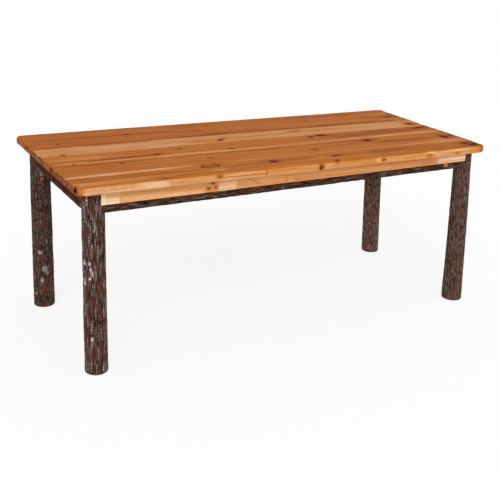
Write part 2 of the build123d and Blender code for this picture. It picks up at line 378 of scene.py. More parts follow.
@dataclass(frozen=True)
class PlanedWood:
    """Oiled, planed hickory that reads the fields of a gridded board.

    The fields are grain_place (the place in the log that the board was cut from), tone (0 for
    the darkest streak, 1 for the whitest sapwood), knot (how far out from the nearest knot, its
    rim at 1), knot_core and knot_rim (how dark that knot's middle and rim are) and end_grain
    (1 on a sawn end).
    """

    name: str
    stops: Stops
    knot_halo: Colour = paint(136, 62, 14)
    knot_rim: Colour = paint(44, 15, 1)
    knot_middle: Colour = paint(38, 13, 1)
    knot_rust: Colour = paint(104, 44, 6)
    end_dark: Colour = paint(52, 17, 2)
    end_light: Colour = paint(172, 100, 52)
    drift_hills: Triple = (2.2, 38.0, 38.0)
    band_hills: Triple = (2.6, 95.0, 95.0)
    line_hills: Triple = (5.0, 230.0, 230.0)
    fibre_hills: Triple = (26.0, 1500.0, 1500.0)
    pore_hills: Triple = (90.0, 2600.0, 2600.0)
    end_hills: Triple = (40.0, 30.0, 40.0)
    coarse_hills: Triple = (60.0, 120.0, 120.0)
    ragged_hills: Triple = (170.0, 300.0, 300.0)
    ring_scale: float = 46.0
    grain_contrast: float = 0.3
    roughness: float = 0.46
    sheen_level: float = 0.015
    skin_depth: float = 0.25

    def material(self) -> Material:
        """The finish as a material.

        Returns:
            The new material.
        """
        made, graph = new_material(self.name)
        place = graph.attribute("grain_place").outputs["Vector"]
        end = graph.number("end_grain")
        lines = graph.noise(place, self.line_hills, 3.0, 0.6)
        fibres = graph.noise(place, self.fibre_hills)
        pores = graph.noise(place, self.pore_hills, 1.0).ease(0.62, 0.72)
        base = graph.ramp(self._shade(graph, place, lines, fibres), self.stops)
        base = graph.mix(pores * 0.35, base, self.knot_halo)
        jagged = graph.noise(place, self.end_hills, 5.0, 0.72)
        end_wood = graph.ramp(jagged, ((0.43, self.end_dark), (0.62, self.end_light)))
        base = graph.mix(end * 0.9, base, end_wood)
        base, heart, hollow = self._knotted(graph, place, base)
        height = 0.5 + (lines - 0.5) * 0.3 + (fibres - 0.5) * 0.25 - pores * 0.4 - hollow * 0.5
        roughness = self.roughness + (lines - 0.5) * 0.12 + heart * 0.2 + end * 0.12
        graph.finish(base, roughness, height, self.skin_depth, Specular_IOR_Level=self.sheen_level)
        return made

    def _shade(self, graph: Graph, place: Socket, lines: Value, fibres: Value) -> Value:
        """How pale the wood is, from the board's own tone and its grain.

        Args:
            graph: The finish's nodes.
            place: The place in the log.
            lines: The fine lines of the grain.
            fibres: The fibres in the lines.

        Returns:
            A value that the colour stops are read by.
        """
        drift = graph.noise(place, self.drift_hills)
        bands = graph.noise(place, self.band_hills, 2.0, 0.6)
        ringed = graph.node(
            "ShaderNodeTexWave",
            {"wave_type": "RINGS", "rings_direction": "X", "wave_profile": "SIN"},
            {
                "Vector": graph.vector("MULTIPLY", place, (0.06, 1.0, 1.0)),
                "Scale": self.ring_scale,
                "Distortion": 5.0,
                "Detail": 2.0,
                "Detail Scale": 0.35,
            },
        )
        rings = Value(graph, ringed.outputs["Fac"])
        contrast = self.grain_contrast
        return (
            graph.number("tone")
            + (drift - 0.5) * (contrast * 0.9)
            + (bands - 0.5) * (contrast * 1.1)
            + (lines - 0.5) * contrast
            + (fibres - 0.5) * (contrast * 0.45)
            + (rings - 0.5) * (contrast * 0.3)
        )

    def _knotted(self, graph: Graph, place: Socket, base: Socket) -> tuple[Socket, Value, Value]:
        """Lay the knots over the wood: a halo, a heart and a dark rim.

        Args:
            graph: The finish's nodes.
            place: The place in the log.
            base: The colour of the wood without them.

        Returns:
            The colour with the knots, where a knot's heart is, and how dark and sunk that heart is.
        """
        coarse = graph.noise(place, self.coarse_hills, 1.0) - 0.5
        ragged = graph.noise(place, self.ragged_hills) - 0.5
        reach = graph.number("knot") + coarse * 0.9 + ragged * 0.6
        core = graph.number("knot_core")
        base = graph.mix(reach.ease(2.8, 0.9) * core * 0.7, base, self.knot_halo)
        heart = reach.ease(1.2, 0.7)
        hollow = heart * core
        middle = graph.mix(ragged.ease(-0.14, 0.12), self.knot_middle, self.knot_rust)
        base = graph.mix(hollow, base, middle)
        base = graph.mix(reach.ease(1.1, 0.8) * core.ease(0.96, 1.0), base, self.knot_middle)
        rim = abs(reach - 1.0).ease(0.3, 0.04) * graph.number("knot_rim")
        return graph.mix(rim * 0.9, base, self.knot_rim), heart, hollow


@dataclass(frozen=True)
class FrameWood:
    """Plain planed wood for the pieces under the top, with its grain along one direction."""

    name: str
    turn: float
    pale: Colour = paint(214, 168, 120)
    middle: Colour = paint(190, 132, 84)
    dark: Colour = paint(150, 92, 52)
    drift_hills: Triple = (3.0, 40.0, 40.0)
    line_hills: Triple = (9.0, 330.0, 330.0)
    fibre_hills: Triple = (30.0, 1600.0, 1600.0)

    def material(self) -> Material:
        """The finish as a material, its grain turned from +X by `turn` degrees.

        Returns:
            The new material.
        """
        made, graph = new_material(self.name)
        place = graph.node("ShaderNodeTexCoord").outputs["Object"]
        turned = graph.node(
            "ShaderNodeMapping",
            {"vector_type": "TEXTURE"},
            {"Vector": place, "Rotation": (0.0, 0.0, math.radians(self.turn))},
        ).outputs[0]
        drift = graph.noise(turned, self.drift_hills)
        lines = graph.noise(turned, self.line_hills, 3.0, 0.6)
        fibres = graph.noise(turned, self.fibre_hills)
        shade = drift * 0.45 + lines * 0.4 + fibres * 0.15
        base = graph.ramp(shade, ((0.3, self.dark), (0.5, self.middle), (0.66, self.pale)))
        height = lines * 0.6 + fibres * 0.4
        roughness = 0.55 + (lines - 0.5) * 0.15
        graph.finish(base, roughness, height, 0.2, Specular_IOR_Level=0.2)
        return made


@dataclass(frozen=True)
class Bark:
    """Hickory bark that reads the fields relief, lichen, scar and rusty of a log or pole."""

    name: str
    draw: Triple
    crack: Colour = paint(26, 17, 12)
    rust: Colour = paint(100, 56, 34)
    brown: Colour = paint(68, 47, 35)
    dark: Colour = paint(62, 51, 45)
    grey: Colour = paint(94, 87, 81)
    pale: Colour = paint(132, 128, 121)
    speck: Colour = paint(146, 149, 148)
    lichen: Colour = paint(208, 206, 198)
    cut: Colour = paint(200, 116, 64)
    black: Colour = paint(0, 0, 0)
    patch_hills: float = 16.0
    rust_hills: float = 48.0
    mottle_hills: float = 190.0
    flake_hills: float = 230.0
    speck_hills: float = 300.0
    grit_hills: float = 700.0
    speck_share: float = 0.75
    rust_share: float = 0.4
    shade: float = 0.0
    sheen_level: float = 0.18
    skin_depth: float = 0.9

    def _drawn(self, hills: float, power: float = 1.0) -> Triple:
        """Hills to the metre along each axis, fewer along the ribs."""
        return tuple(hills * share**power for share in self.draw)

    def material(self) -> Material:
        """The finish as a material.

        Returns:
            The new material.
        """
        made, graph = new_material(self.name)
        place = graph.node("ShaderNodeTexCoord").outputs["Object"]
        relief = graph.number("relief")
        patches = graph.noise(place, self._drawn(self.patch_hills), 3.0)
        mottle = graph.noise(place, self._drawn(self.mottle_hills), 3.0, 0.65)
        grit = graph.noise(place, self._drawn(self.grit_hills))
        tone = relief * 0.9 + (mottle - 0.5) * 0.5 + (grit - 0.5) * 0.35 + (patches - 0.5) * 0.2
        base = graph.ramp(
            tone,
            (
                (0.05, self.crack),
                (0.28, self.rust),
                (0.42, self.brown),
                (0.58, self.dark),
                (0.8, self.grey),
                (1.0, self.pale),
            ),
        )
        rusty = graph.noise(place, self._drawn(self.rust_hills)).ease(0.46, 0.62)
        rusty = (rusty * (1 - relief) + graph.number("rusty")).at_most(1.0)
        base = graph.mix(rusty * self.rust_share, base, self.rust)
        speck = graph.noise(place, self._drawn(self.speck_hills, 0.6)).ease(0.52, 0.62)
        base = graph.mix(speck * relief.ease(0.4, 0.8) * self.speck_share, base, self.speck)
        flake = graph.noise(place, (self.flake_hills,) * 3).ease(0.42, 0.56)
        base = graph.mix((graph.number("lichen") * flake).at_most(0.95), base, self.lichen)
        base = graph.mix(graph.number("scar"), base, self.cut)
        base = graph.mix(self.shade, base, self.black)
        height = relief * 0.3 + mottle * 0.4 + grit * 0.3
        roughness = 0.82 - 0.15 * relief
        graph.finish(base, roughness, height, self.skin_depth, Specular_IOR_Level=self.sheen_level)
        return made


@dataclass(frozen=True)
class SawnLog:
    """The bare wood of a log where it was sawn: notches, shelves and ends."""

    name: str = "sawn_log"
    pale: Colour = paint(152, 104, 64)
    dark: Colour = paint(92, 54, 30)
    drift_hills: Triple = (45.0, 45.0, 12.0)
    saw_hills: Triple = (700.0, 700.0, 90.0)

    def material(self) -> Material:
        """The finish as a material.

        Returns:
            The new material.
        """
        made, graph = new_material(self.name)
        place = graph.node("ShaderNodeTexCoord").outputs["Object"]
        drift = graph.noise(place, self.drift_hills)
        marks = graph.noise(place, self.saw_hills)
        base = graph.ramp(drift * 0.6 + marks * 0.4, ((0.32, self.dark), (0.6, self.pale)))
        graph.finish(base, 0.7, marks, 0.3, Specular_IOR_Level=0.2)
        return made


@dataclass(frozen=True)
class Zinc:
    """Dull zinc plating on a bolt, washer, nut or screw."""

    name: str
    bright: Colour = paint(196, 198, 200)
    dull: Colour = paint(140, 140, 138)
    spangle_hills: Triple = (420.0, 420.0, 420.0)
    scratch_hills: Triple = (2400.0, 2400.0, 300.0)
    roughness: float = 0.34

    def material(self) -> Material:
        """The finish as a material.

        Returns:
            The new material.
        """
        made, graph = new_material(self.name)
        place = graph.node("ShaderNodeTexCoord").outputs["Object"]
        spangle = graph.noise(place, self.spangle_hills, 3.0)
        scratches = graph.noise(place, self.scratch_hills, 1.0)
        base = graph.mix(spangle.ease(0.4, 0.62), self.bright, self.dull)
        roughness = self.roughness + (spangle - 0.5) * 0.3
        graph.finish(base, roughness, scratches, 0.03, Metallic=1.0)
        return made


# ---------------- meshes


def quads(grid: Array, turned: bool = False) -> Array:
    """The four-sided faces of a grid of vertex numbers.

    Args:
        grid: Vertex numbers in rows.
        turned: True to face the other way.

    Returns:
        One row of four vertex numbers for each face.
    """
    corners = [grid[:-1, :-1], grid[1:, :-1], grid[1:, 1:], grid[:-1, 1:]]
    made = np.stack(corners, axis=-1).reshape(-1, 4)
    return made[:, ::-1] if turned else made


def new_piece(
    name: str,
    vertices: Array,
    faces: list,
    materials: list[Material],
    material_of_face: Array | None = None,
    sharp_angle: float = 40.0,
) -> Piece:
    """A new mesh object of the scene, smooth but for its sharp edges.

    Args:
        name: The piece's name.
        vertices: Places, three numbers to a row.
        faces: Vertex numbers of each face.
        materials: Its materials.
        material_of_face: Which material each face has, where there is more than one.
        sharp_angle: Edges sharper than this, in degrees, stay sharp.

    Returns:
        The new object.
    """
    mesh = bpy.data.meshes.new(name)
    mesh.from_pydata(vertices.tolist(), [], faces)
    for material in materials:
        mesh.materials.append(material)
    if material_of_face is not None:
        mesh.polygons.foreach_set("material_index", material_of_face.astype(np.int32))
    mesh.shade_smooth()
    mesh.set_sharp_from_angle(angle=math.radians(sharp_angle))
    mesh.update()
    made = bpy.data.objects.new(name, mesh)
    bpy.context.scene.collection.objects.link(made)
    return made


def give_fields(piece: Piece, fields: Fields) -> None:
    """Write named fields to a piece's vertices.

    Args:
        piece: The piece.
        fields: One number or three for each vertex, by the field's name.
    """
    for name, values in fields.items():
        kind, entry = ("FLOAT_VECTOR", "vector") if values.ndim == 2 else ("FLOAT", "value")
        made = piece.data.attributes.new(name, kind, "POINT")
        made.data.foreach_set(entry, values.astype(np.float32).ravel())


def vertex_normals(piece: Piece) -> Array:
    """The outward direction at each vertex of a piece.

    Args:
        piece: The piece.

    Returns:
        One direction to a row.
    """
    made = np.zeros(len(piece.data.vertices) * 3, np.float32)
    piece.data.vertex_normals.foreach_get("vector", made)
    return made.reshape(-1, 3).astype(float)


def move_vertices(piece: Piece, places: Array) -> None:
    """Put a piece's vertices at new places."""
    piece.data.vertices.foreach_set("co", places.astype(np.float32).ravel())
    piece.data.update()


def stand_for(piece: Piece, node: str) -> None:
    """Let a piece stand for a CAD node and ride on the table.

    Args:
        piece: The finished piece.
        node: The CAD node that it stands for.
    """
    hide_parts(node)
    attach(piece, BODY)
    log.info("%s: %d faces, stands for %s", piece.name, len(piece.data.polygons), node)


def box_cutter(low: Vector, high: Vector) -> Shell:
    """The corners and faces of a block.

    Args:
        low: Its lowest corner.
        high: Its highest corner.

    Returns:
        Its vertices and its faces, facing outwards.
    """
    corners = [
        (x, y, z) for x in (low[0], high[0]) for y in (low[1], high[1]) for z in (low[2], high[2])
    ]
    faces = [(0, 1, 3, 2), (4, 6, 7, 5), (0, 4, 5, 1), (2, 3, 7, 6), (0, 2, 6, 4), (1, 5, 7, 3)]
    return corners, faces


def round_cutter(
    centre: Vector, radius: float, low: float, high: float, sides: int = 24
) -> Shell:
    """The corners and faces of an upright round bar.

    Args:
        centre: A point of its axis.
        radius: Its radius.
        low: The height of its lower end.
        high: The height of its upper end.
        sides: How many flats it has.

    Returns:
        Its vertices and its faces, facing outwards.
    """
    corners = []
    for height in (low, high):
        for step in range(sides):
            turn = 2 * math.pi * step / sides
            x = centre[0] + radius * math.cos(turn)
            y = centre[1] + radius * math.sin(turn)
            corners.append((x, y, height))
    walls = []
    for step in range(sides):
        following = (step + 1) % sides
        walls.append((step, following, following + sides, step + sides))
    return corners, [*walls, tuple(range(sides))[::-1], tuple(range(sides, 2 * sides))]


def mesh_reach(mesh: bpy.types.Mesh) -> Array:
    """How far a mesh reaches on each side.

    Args:
        mesh: The mesh.

    Returns:
        Six outward lengths, or infinities where the mesh is empty.
    """
    places = np.empty(3 * len(mesh.vertices))
    mesh.vertices.foreach_get("co", places)
    places = places.reshape(-1, 3)
    return np.concatenate([-places.min(0), places.max(0)]) if len(places) else np.full(6, np.inf)


# How far the blocks are shifted at each new try, and how much a cut may widen the piece by.
NUDGE = Vector((0.03, 0.02, 0.01)) * MM
REACH_SLACK = 0.01 * MM


def cut_away(
    piece: Piece,
    cutters: list[Shell],
    material: Material,
    tries: int = 8,
) -> None:
    """Cut blocks out of a piece, and leave the cut faces in a material.

    The blocks can meet a rough piece so that the cut leaves a block standing. Then the cut is
    made again with the blocks a hair further to the side.

    Args:
        piece: The piece.
        cutters: Vertices and faces of each block.
        material: What the cut faces are made of.
        tries: How often the cut is tried.
    """
    corners: list = []
    faces: list = []
    for block_corners, block_faces in cutters:
        faces += [tuple(number + len(corners) for number in face) for face in block_faces]
        corners += block_corners
    mesh = bpy.data.meshes.new("cutter")
    mesh.from_pydata(corners, [], faces)
    mesh.materials.append(material)
    mesh.update()
    cutter = bpy.data.objects.new("cutter", mesh)
    bpy.context.scene.collection.objects.link(cutter)
    modifier = piece.modifiers.new("cut", "BOOLEAN")
    modifier.operation = "DIFFERENCE"
    modifier.solver = "EXACT"
    modifier.material_mode = "TRANSFER"
    modifier.use_self = False
    modifier.object = cutter
    allowed = mesh_reach(piece.data) + REACH_SLACK
    for attempt in range(tries):
        cutter.location = NUDGE * attempt
        bpy.context.view_layer.update()
        evaluated = piece.evaluated_get(bpy.context.evaluated_depsgraph_get())
        made = bpy.data.meshes.new_from_object(evaluated)
        if (mesh_reach(made) <= allowed).all():
            break
    made.name = piece.name
    piece.modifiers.clear()
    piece.data = made
    bpy.data.objects.remove(cutter)
    log.info("%s: cut at try %d", piece.name, attempt + 1)


# ---------------- boards


@dataclass(frozen=True)
class Knot:
    """A knot in a board: where its middle lies and how far it reaches. Millimetres.

    Its core and rim are how dark they are, and its turn is in degrees.
    """

    along: float
    across: float
    reach: Triple
    core: float = 0.9
    turn: float = 0.0
    depth: float = 0.3
    rim: float = 0.6
    through: float = SLAB_TOP


@dataclass(frozen=True)
class Streak:
    """A lighter or darker band along the grain, from one end point to the other. Millimetres."""

    start: float
    start_across: float
    end: float
    end_across: float
    width: float
    tone: float
    fade: float = 45.0


@dataclass(frozen=True)
class Smear:
    """A soft lighter or darker spot: where its middle is, how far it reaches and its tone."""

    along: float
    across: float
    reach: Triple
    tone: float
    through: float = SLAB_TOP


@dataclass(frozen=True)
class Block:
    """A length of a strip that was cut from another board. Millimetres.

    Where its grain is curly it has bars across it: how strong they are, how far apart, how far
    they lean and how they bow.
    """

    start: float
    end: float
    tone: float
    curl: float = 0.0
    curl_step: float = 20.0
    lean: float = 0.0
    bow: float = 0.0


@dataclass(frozen=True)
class Wear:
    """A corner rubbed rounder than the rest: its place, how far it reaches and how deep."""

    along: float
    across: float
    reach: float
    depth: float


# How long the hills are, along, across and through a board, that its skin is shaped by.
RIPPLE_HILLS = (260.0, 45.0, 50.0)
TOOTH_HILLS = (400.0, 15.0, 50.0)
STEP_HILLS = (900.0, 75.0, 50.0)
EDGE_HILLS = (150.0, 400.0, 50.0)


@dataclass
class Plank:
    """A board in its own frame: x along it, y across it, z out of its face. Millimetres.

    Its face is a grid that crowds towards its edges. Its ends can be chewed by end_rough and its
    long edges can wander by edge_wave.
    """

    half_length: float
    low: float
    high: float
    face: float
    back: float
    outline_low: float
    outline_high: float
    corner_radius: float
    face_radius: float
    back_radius: float
    step_along: float = 5.0
    step_across: float = 4.0
    wall_rows: int = 8
    ripple: float = 0.12
    end_rough: float = 0.0
    edge_wave: float = 0.0
    wear: tuple[Wear, ...] = ()
    joint_dip: float = 0.25
    corner_steps: int = 17
    arris_steps: int = 9

    @staticmethod
    def _steps(low: float, high: float, step: float, low_edge: Array, high_edge: Array) -> Array:
        """Stations that crowd towards two edges.

        Args:
            low: The first station.
            high: The last station.
            step: How far apart the middle ones are.
            low_edge: Distances in from the first station.
            high_edge: Distances in from the last station.

        Returns:
            The stations in order.
        """
        start = low + low_edge[-1]
        stop = high - high_edge[-1]
        count = max(2, round((stop - start) / step))
        middle = np.linspace(start, stop, count + 1)[1:-1]
        return np.concatenate([low + low_edge, middle, high - high_edge[::-1]])

    def edge_distance(self, along: Array, across: Array) -> Array:
        """How far each point lies inside the whole outline.

        Args:
            along: Each point's place along the board.
            across: Each point's place across it.

        Returns:
            The distance in from the nearest edge, 0 outside.
        """
        middle = (self.outline_low + self.outline_high) / 2
        half_across = (self.outline_high - self.outline_low) / 2
        past_along = np.abs(along) - (self.half_length - self.corner_radius)
        past_across = np.abs(across - middle) - (half_across - self.corner_radius)
        corner = np.hypot(np.maximum(past_along, 0), np.maximum(past_across, 0))
        inner = np.minimum(np.maximum(past_along, past_across), 0)
        return np.maximum(self.corner_radius - corner - inner, 0)

    def grid(self) -> tuple[Array, Array]:
        """The grid of the board's face, its rim on the outline.

        Returns:
            The along and the across values of its points.
        """
        radius = self.corner_radius
        round_edge = radius * (1 - np.cos(np.linspace(0, np.pi / 2, self.corner_steps)))
        joint = np.array([0.0, 0.8])
        low_edge = round_edge if self.low == self.outline_low else joint
        high_edge = round_edge if self.high == self.outline_high else joint
        across = self._steps(self.low, self.high, self.step_across, low_edge, high_edge)
        arris = self.face_radius * (1 - np.cos(np.linspace(0, np.pi / 2, self.arris_steps)))
        along = self._steps(-self.half_length, self.half_length, self.step_along, arris, arris)
        middle = (self.outline_low + self.outline_high) / 2
        half_across = (self.outline_high - self.outline_low) / 2
        past = np.clip(np.abs(across - middle) - (half_across - radius), 0, radius)
        reach = self.half_length - radius + np.sqrt(radius**2 - past**2)
        whole = along[:, None] / self.half_length * reach[None, :]
        return whole, np.repeat(across[None, :], len(along), 0)

    @staticmethod
    def _fall(distance: Array, radius: float) -> Array:
        """How far a rounded edge falls at a distance in from the outline."""
        return radius - np.sqrt(np.maximum(radius**2 - np.maximum(radius - distance, 0) ** 2, 0))

    def _chewed(self, points: Array, noise: Noise) -> Array:
        """How far the saw and the weather have eaten into the ends at each point.

        Args:
            points: Places on the face. They are shifted so that the fields differ.
            noise: Where the teeth come from.

        Returns:
            Lengths in millimetres, fading out towards the corners.
        """
        teeth = noise.layered(points + 900.0, TOOTH_HILLS, 3)
        steps = noise.layered(points + 2500.0, STEP_HILLS, 2)
        across = points[:, 1]
        side_gap = np.minimum(across - self.outline_low, self.outline_high - across)
        return self.end_rough * ((1 + teeth) / 2 + np.clip(steps, 0, 1)) * ease(side_gap, 8.0, 70.0)

    def _worn(
        self, along: Array, across: Array, chewed: Array, waves: Array
    ) -> tuple[Array, Array]:
        """Move the face's points in where its ends, edges and corners are worn.

        Args:
            along: Each point's place along the board.
            across: Each point's place across it.
            chewed: How far the ends are eaten in.
            waves: The hills that the long edges wander by.

        Returns:
            The new along and across values.
        """
        at_end = ease(np.abs(along), self.half_length - 34.0, self.half_length)
        low_side = ease(across, self.outline_low + 30.0, self.outline_low)
        high_side = ease(across, self.outline_high - 30.0, self.outline_high)
        along = along - np.sign(along) * at_end * chewed
        across = across + (low_side - high_side) * self.edge_wave * (1 + waves) / 2
        for wear in self.wear:
            away = np.hypot(along - wear.along, across - wear.across)
            inward = wear.depth * np.exp(-((away / wear.reach) ** 2)) / math.sqrt(2)
            along = along - np.sign(wear.along) * inward
            across = across - np.sign(wear.across) * inward
        return along, across

    def skin(self, noise: Noise) -> tuple[Array, list]:
        """The closed skin of the board.

        Args:
            noise: Where the ripple of its faces comes from.

        Returns:
            Its vertices and its faces.
        """
        along, across = self.grid()
        shape = along.shape
        distance = self.edge_distance(along, across)
        points = np.stack([along.ravel(), across.ravel(), 0 * along.ravel()], axis=-1)
        hills = noise.layered(points, RIPPLE_HILLS, 3).reshape(shape)
        waves = noise.layered(points + 1700.0, EDGE_HILLS, 3).reshape(shape)
        chewed = self._chewed(points, noise).reshape(shape)
        gap = np.minimum(across - self.low, self.high - across)
        outer = (across - self.outline_low < 0.01) | (self.outline_high - across < 0.01)
        glued = (gap < 0.4) & ~outer & (self.low != self.outline_low)
        along, across = self._worn(along, across, chewed, waves)
        dip = ease(np.abs(along), self.half_length - 24.0, self.half_length - 6.0) * chewed * 0.6
        fall = self._fall(distance, self.face_radius)
        joint = np.where(glued, self.joint_dip, 0.0)
        face = self.face - fall - self.ripple * (1 + hills) / 2 - joint - dip
        rise = self._fall(distance, self.back_radius)
        back = self.back + rise + self.ripple * (1 - hills) / 2
        top = np.stack([along, across, face], axis=-1)
        bottom = np.stack([along, across, back], axis=-1)
        return self._closed(top, bottom)

    def _closed(self, top: Array, bottom: Array) -> tuple[Array, list]:
        """Join two gridded faces with a wall round their rims.

        Args:
            top: The places of the face's grid.
            bottom: The places of the back's grid.

        Returns:
            The vertices and the faces of the whole.
        """
        count = top.shape[0] * top.shape[1]
        numbers = np.arange(count).reshape(top.shape[:2])
        rim = [numbers[:, 0], numbers[-1, 1:], numbers[-2::-1, -1], numbers[0, -2:0:-1]]
        loop = np.concatenate(rim)
        upper = top.reshape(-1, 3)
        lower = bottom.reshape(-1, 3)
        shares = np.linspace(0, 1, self.wall_rows + 1)[1:-1]
        walls = [upper[loop] * (1 - share) + lower[loop] * share for share in shares]
        rings = [loop]
        rings += [2 * count + row * len(loop) + np.arange(len(loop)) for row in range(len(shares))]
        rings.append(loop + count)
        closed = np.stack([np.append(ring, ring[0]) for ring in rings])
        faces = np.concatenate([quads(numbers), quads(numbers + count, True), quads(closed)])
        return np.concatenate([upper, lower, *walls]), faces.tolist()


@dataclass
class BoardLook:
    """What a board was cut from: its own tone, its streaks, knots and blocks. Millimetres.

    The pith is where the heart of its log lay, across and through. The blocks cover the strip
    below strip_edge, and their curl rises along rise_axis. The drift is how far the tone wanders.
    """

    seed: int
    tone: float
    pith: Pair
    streaks: tuple[Streak, ...] = ()
    knots: tuple[Knot, ...] = ()
    smears: tuple[Smear, ...] = ()
    blocks: tuple[Block, ...] = ()
    strip_edge: float = 1000.0
    rise_axis: int = 1
    wear: tuple[Wear, ...] = ()
    drift: float = 0.07

    def knot_reach(self, points: Array) -> tuple[Array, ...]:
        """How far out each point lies from its nearest knot.

        Args:
            points: Places on the board.

        Returns:
            The distance, with a knot's rim at 1, how dark that knot's middle and rim are, and
            its depth.
        """
        nearest = np.full(len(points), 6.0)
        core = np.zeros(len(points))
        rim = np.zeros(len(points))
        depth = np.zeros(len(points))
        for knot in self.knots:
            offset = points - np.array([knot.along, knot.across, knot.through])
            turn = math.radians(knot.turn)
            along = offset[:, 0] * math.cos(turn) + offset[:, 1] * math.sin(turn)
            across = offset[:, 1] * math.cos(turn) - offset[:, 0] * math.sin(turn)
            reach = np.sqrt(
                (along / knot.reach[0]) ** 2
                + (across / knot.reach[1]) ** 2
                + (offset[:, 2] / knot.reach[2]) ** 2
            )
            closer = reach < nearest
            core = np.where(closer, knot.core, core)
            at_ends = ease(np.abs(along) / knot.reach[0], 0.25, 0.8)
            rim = np.where(closer, knot.rim * at_ends, rim)
            depth = np.where(closer, knot.depth, depth)
            nearest = np.minimum(nearest, reach)
        return nearest, core, rim, depth

    def sunk(self, points: Array) -> Array:
        """How deep the knots' hollows are at each point, in millimetres."""
        reach, _, _, depth = self.knot_reach(points)
        return ease(reach, 1.25, 0.55) * depth

    def _bent(self, points: Array, noise: Noise) -> Array:
        """The places in the log, where the grain waves and runs round the knots.

        Args:
            points: Places on the board.
            noise: Where the waves come from.

        Returns:
            The places, as far as they are bent across the board.
        """
        bent = points.copy()
        for knot in self.knots:
            offset = points - np.array([knot.along, knot.across, knot.through])
            long = offset[:, 0] / (2.2 * knot.reach[0] + 8)
            wide = offset[:, 1] / (2.6 * max(knot.reach[1], 6.0))
            bent[:, 1] -= offset[:, 1] * np.exp(-(long**2) - wide**2) * 0.75
        bent[:, 1] += noise.layered(points * (1, 0, 0) + (0, 7, 3), (330.0, 50.0, 50.0), 3) * 5.0
        return bent

    @staticmethod
    def _band(streak: Streak, points: Array, bent: Array, noise: Noise) -> Array:
        """How much of a streak lies at each point.

        Args:
            streak: The streak.
            points: Places on the board.
            bent: The same places along the bent grain.
            noise: Where its ragged edges and threads come from.

        Returns:
            Shares of about 0 to 1.
        """
        length = streak.end - streak.start
        share = (points[:, 0] - streak.start) / length
        drift = streak.end_across - streak.start_across
        middle = streak.start_across + drift * np.clip(share, 0, 1)
        shifted = points * (1, 0, 0) + (0, streak.start_across, 11)
        ragged = noise.layered(shifted, (150.0, 9.0, 9.0), 3)
        width = streak.width / 2 * (1 + 0.35 * ragged)
        band = np.exp(-np.abs((bent[:, 1] - middle) / width) ** 3)
        fade = streak.fade / length
        thread = 1 + 0.4 * noise.layered(points + 31.0, (90.0, 5.0, 9.0), 2)
        return band * thread * ease(share, -fade, fade) * ease(share, 1 + fade, 1 - fade)

    def _bars(self, block: Block, points: Array, noise: Noise) -> Array:
        """The bars across a block's curly grain.

        Args:
            block: The block.
            points: Places on the board.
            noise: What makes them uneven.

        Returns:
            Waves from -1 to 1.
        """
        rise = points[:, self.rise_axis]
        rise = rise - rise.mean()
        bars = (points[:, 0] + block.lean * rise + block.bow * rise**2) / block.curl_step
        uneven = noise.layered(points + 57.0, (40.0, 30.0, 30.0), 2)
        return np.sin(2 * np.pi * bars + 2.0 * uneven)

    def fields(self, points: Array, facing: Array) -> Fields:
        """The fields that the wood finish reads.

        Args:
            points: Places on the board, in its own frame.
            facing: How much each place faces along the board, from 0 to 1.

        Returns:
            The fields by name.
        """
        noise = Noise(self.seed)
        bent = self._bent(points, noise)
        tone = self.tone + self.drift * noise.layered(points, (420.0, 26.0, 40.0), 3)
        for streak in self.streaks:
            tone += streak.tone * self._band(streak, points, bent, noise)
        place = bent + np.array([self.seed * 3100.0, -self.pith[0], -self.pith[1]])
        for number, block in enumerate(self.blocks, start=1):
            in_block = (points[:, 0] >= block.start) & (points[:, 0] < block.end)
            share = ease(points[:, 1], self.strip_edge + 1.5, self.strip_edge - 1.5) * in_block
            bars = self._bars(block, points, noise)
            mottle = self.drift * noise.layered(points + 211.0 * number, (90.0, 9.0, 9.0), 3)
            tone = tone * (1 - share) + (block.tone + block.curl * bars + mottle) * share
            place[share > 0.5] += number * np.array([610.0, 17.0, 23.0])
        for smear in self.smears:
            offset = points - np.array([smear.along, smear.across, smear.through])
            away = ((offset / np.array(smear.reach)) ** 2).sum(1)
            ragged = 1 + 0.35 * noise.layered(points + 77.0, (24.0, 8.0, 8.0), 2)
            tone += smear.tone * np.exp(-away * ragged)
        reach, core, rim, _ = self.knot_reach(points)
        blotches = noise.layered(points + 5.0, (9.0, 11.0, 6.0), 2)
        return {
            "grain_place": place * MM,
            "tone": tone,
            "knot": reach,
            "knot_core": core,
            "knot_rim": rim,
            "end_grain": ease(facing + 0.2 * blotches, 0.6, 0.9),
        }


@dataclass
class BoardTop:
    """The top: six hickory boards glued edge to edge, with rounded corners and edges."""

    material: Material
    looks: tuple[BoardLook, ...]
    corner_radius: float = 28.0
    edge_radius: float = 9.0
    under_radius: float = 4.0
    end_rough: float = 2.8
    edge_wave: float = 1.2

    def build(self) -> None:
        """Build each board in the place of its CAD node."""
        boxes = [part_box(f"top_board_{number}") for number in range(1, len(self.looks) + 1)]
        outline_low = min(low.y for low, _ in boxes) / MM
        outline_high = max(high.y for _, high in boxes) / MM
        for number, (look, (low, high)) in enumerate(zip(self.looks, boxes), start=1):
            plank = Plank(
                half_length=high.x / MM,
                low=low.y / MM,
                high=high.y / MM,
                face=high.z / MM,
                back=low.z / MM,
                outline_low=outline_low,
                outline_high=outline_high,
                corner_radius=self.corner_radius,
                face_radius=self.edge_radius,
                back_radius=self.under_radius,
                step_along=3.4 if look.blocks else 5.0,
                end_rough=self.end_rough,
                edge_wave=self.edge_wave,
                wear=look.wear,
            )
            vertices, faces = plank.skin(Noise(look.seed))
            piece = new_piece(f"board_{number}", vertices * MM, faces, [self.material])
            sunk = look.sunk(vertices)[:, None]
            move_vertices(piece, (vertices - vertex_normals(piece) * sunk) * MM)
            give_fields(piece, look.fields(vertices, np.abs(vertex_normals(piece)[:, 0])))
            stand_for(piece, f"top_board_{number}")


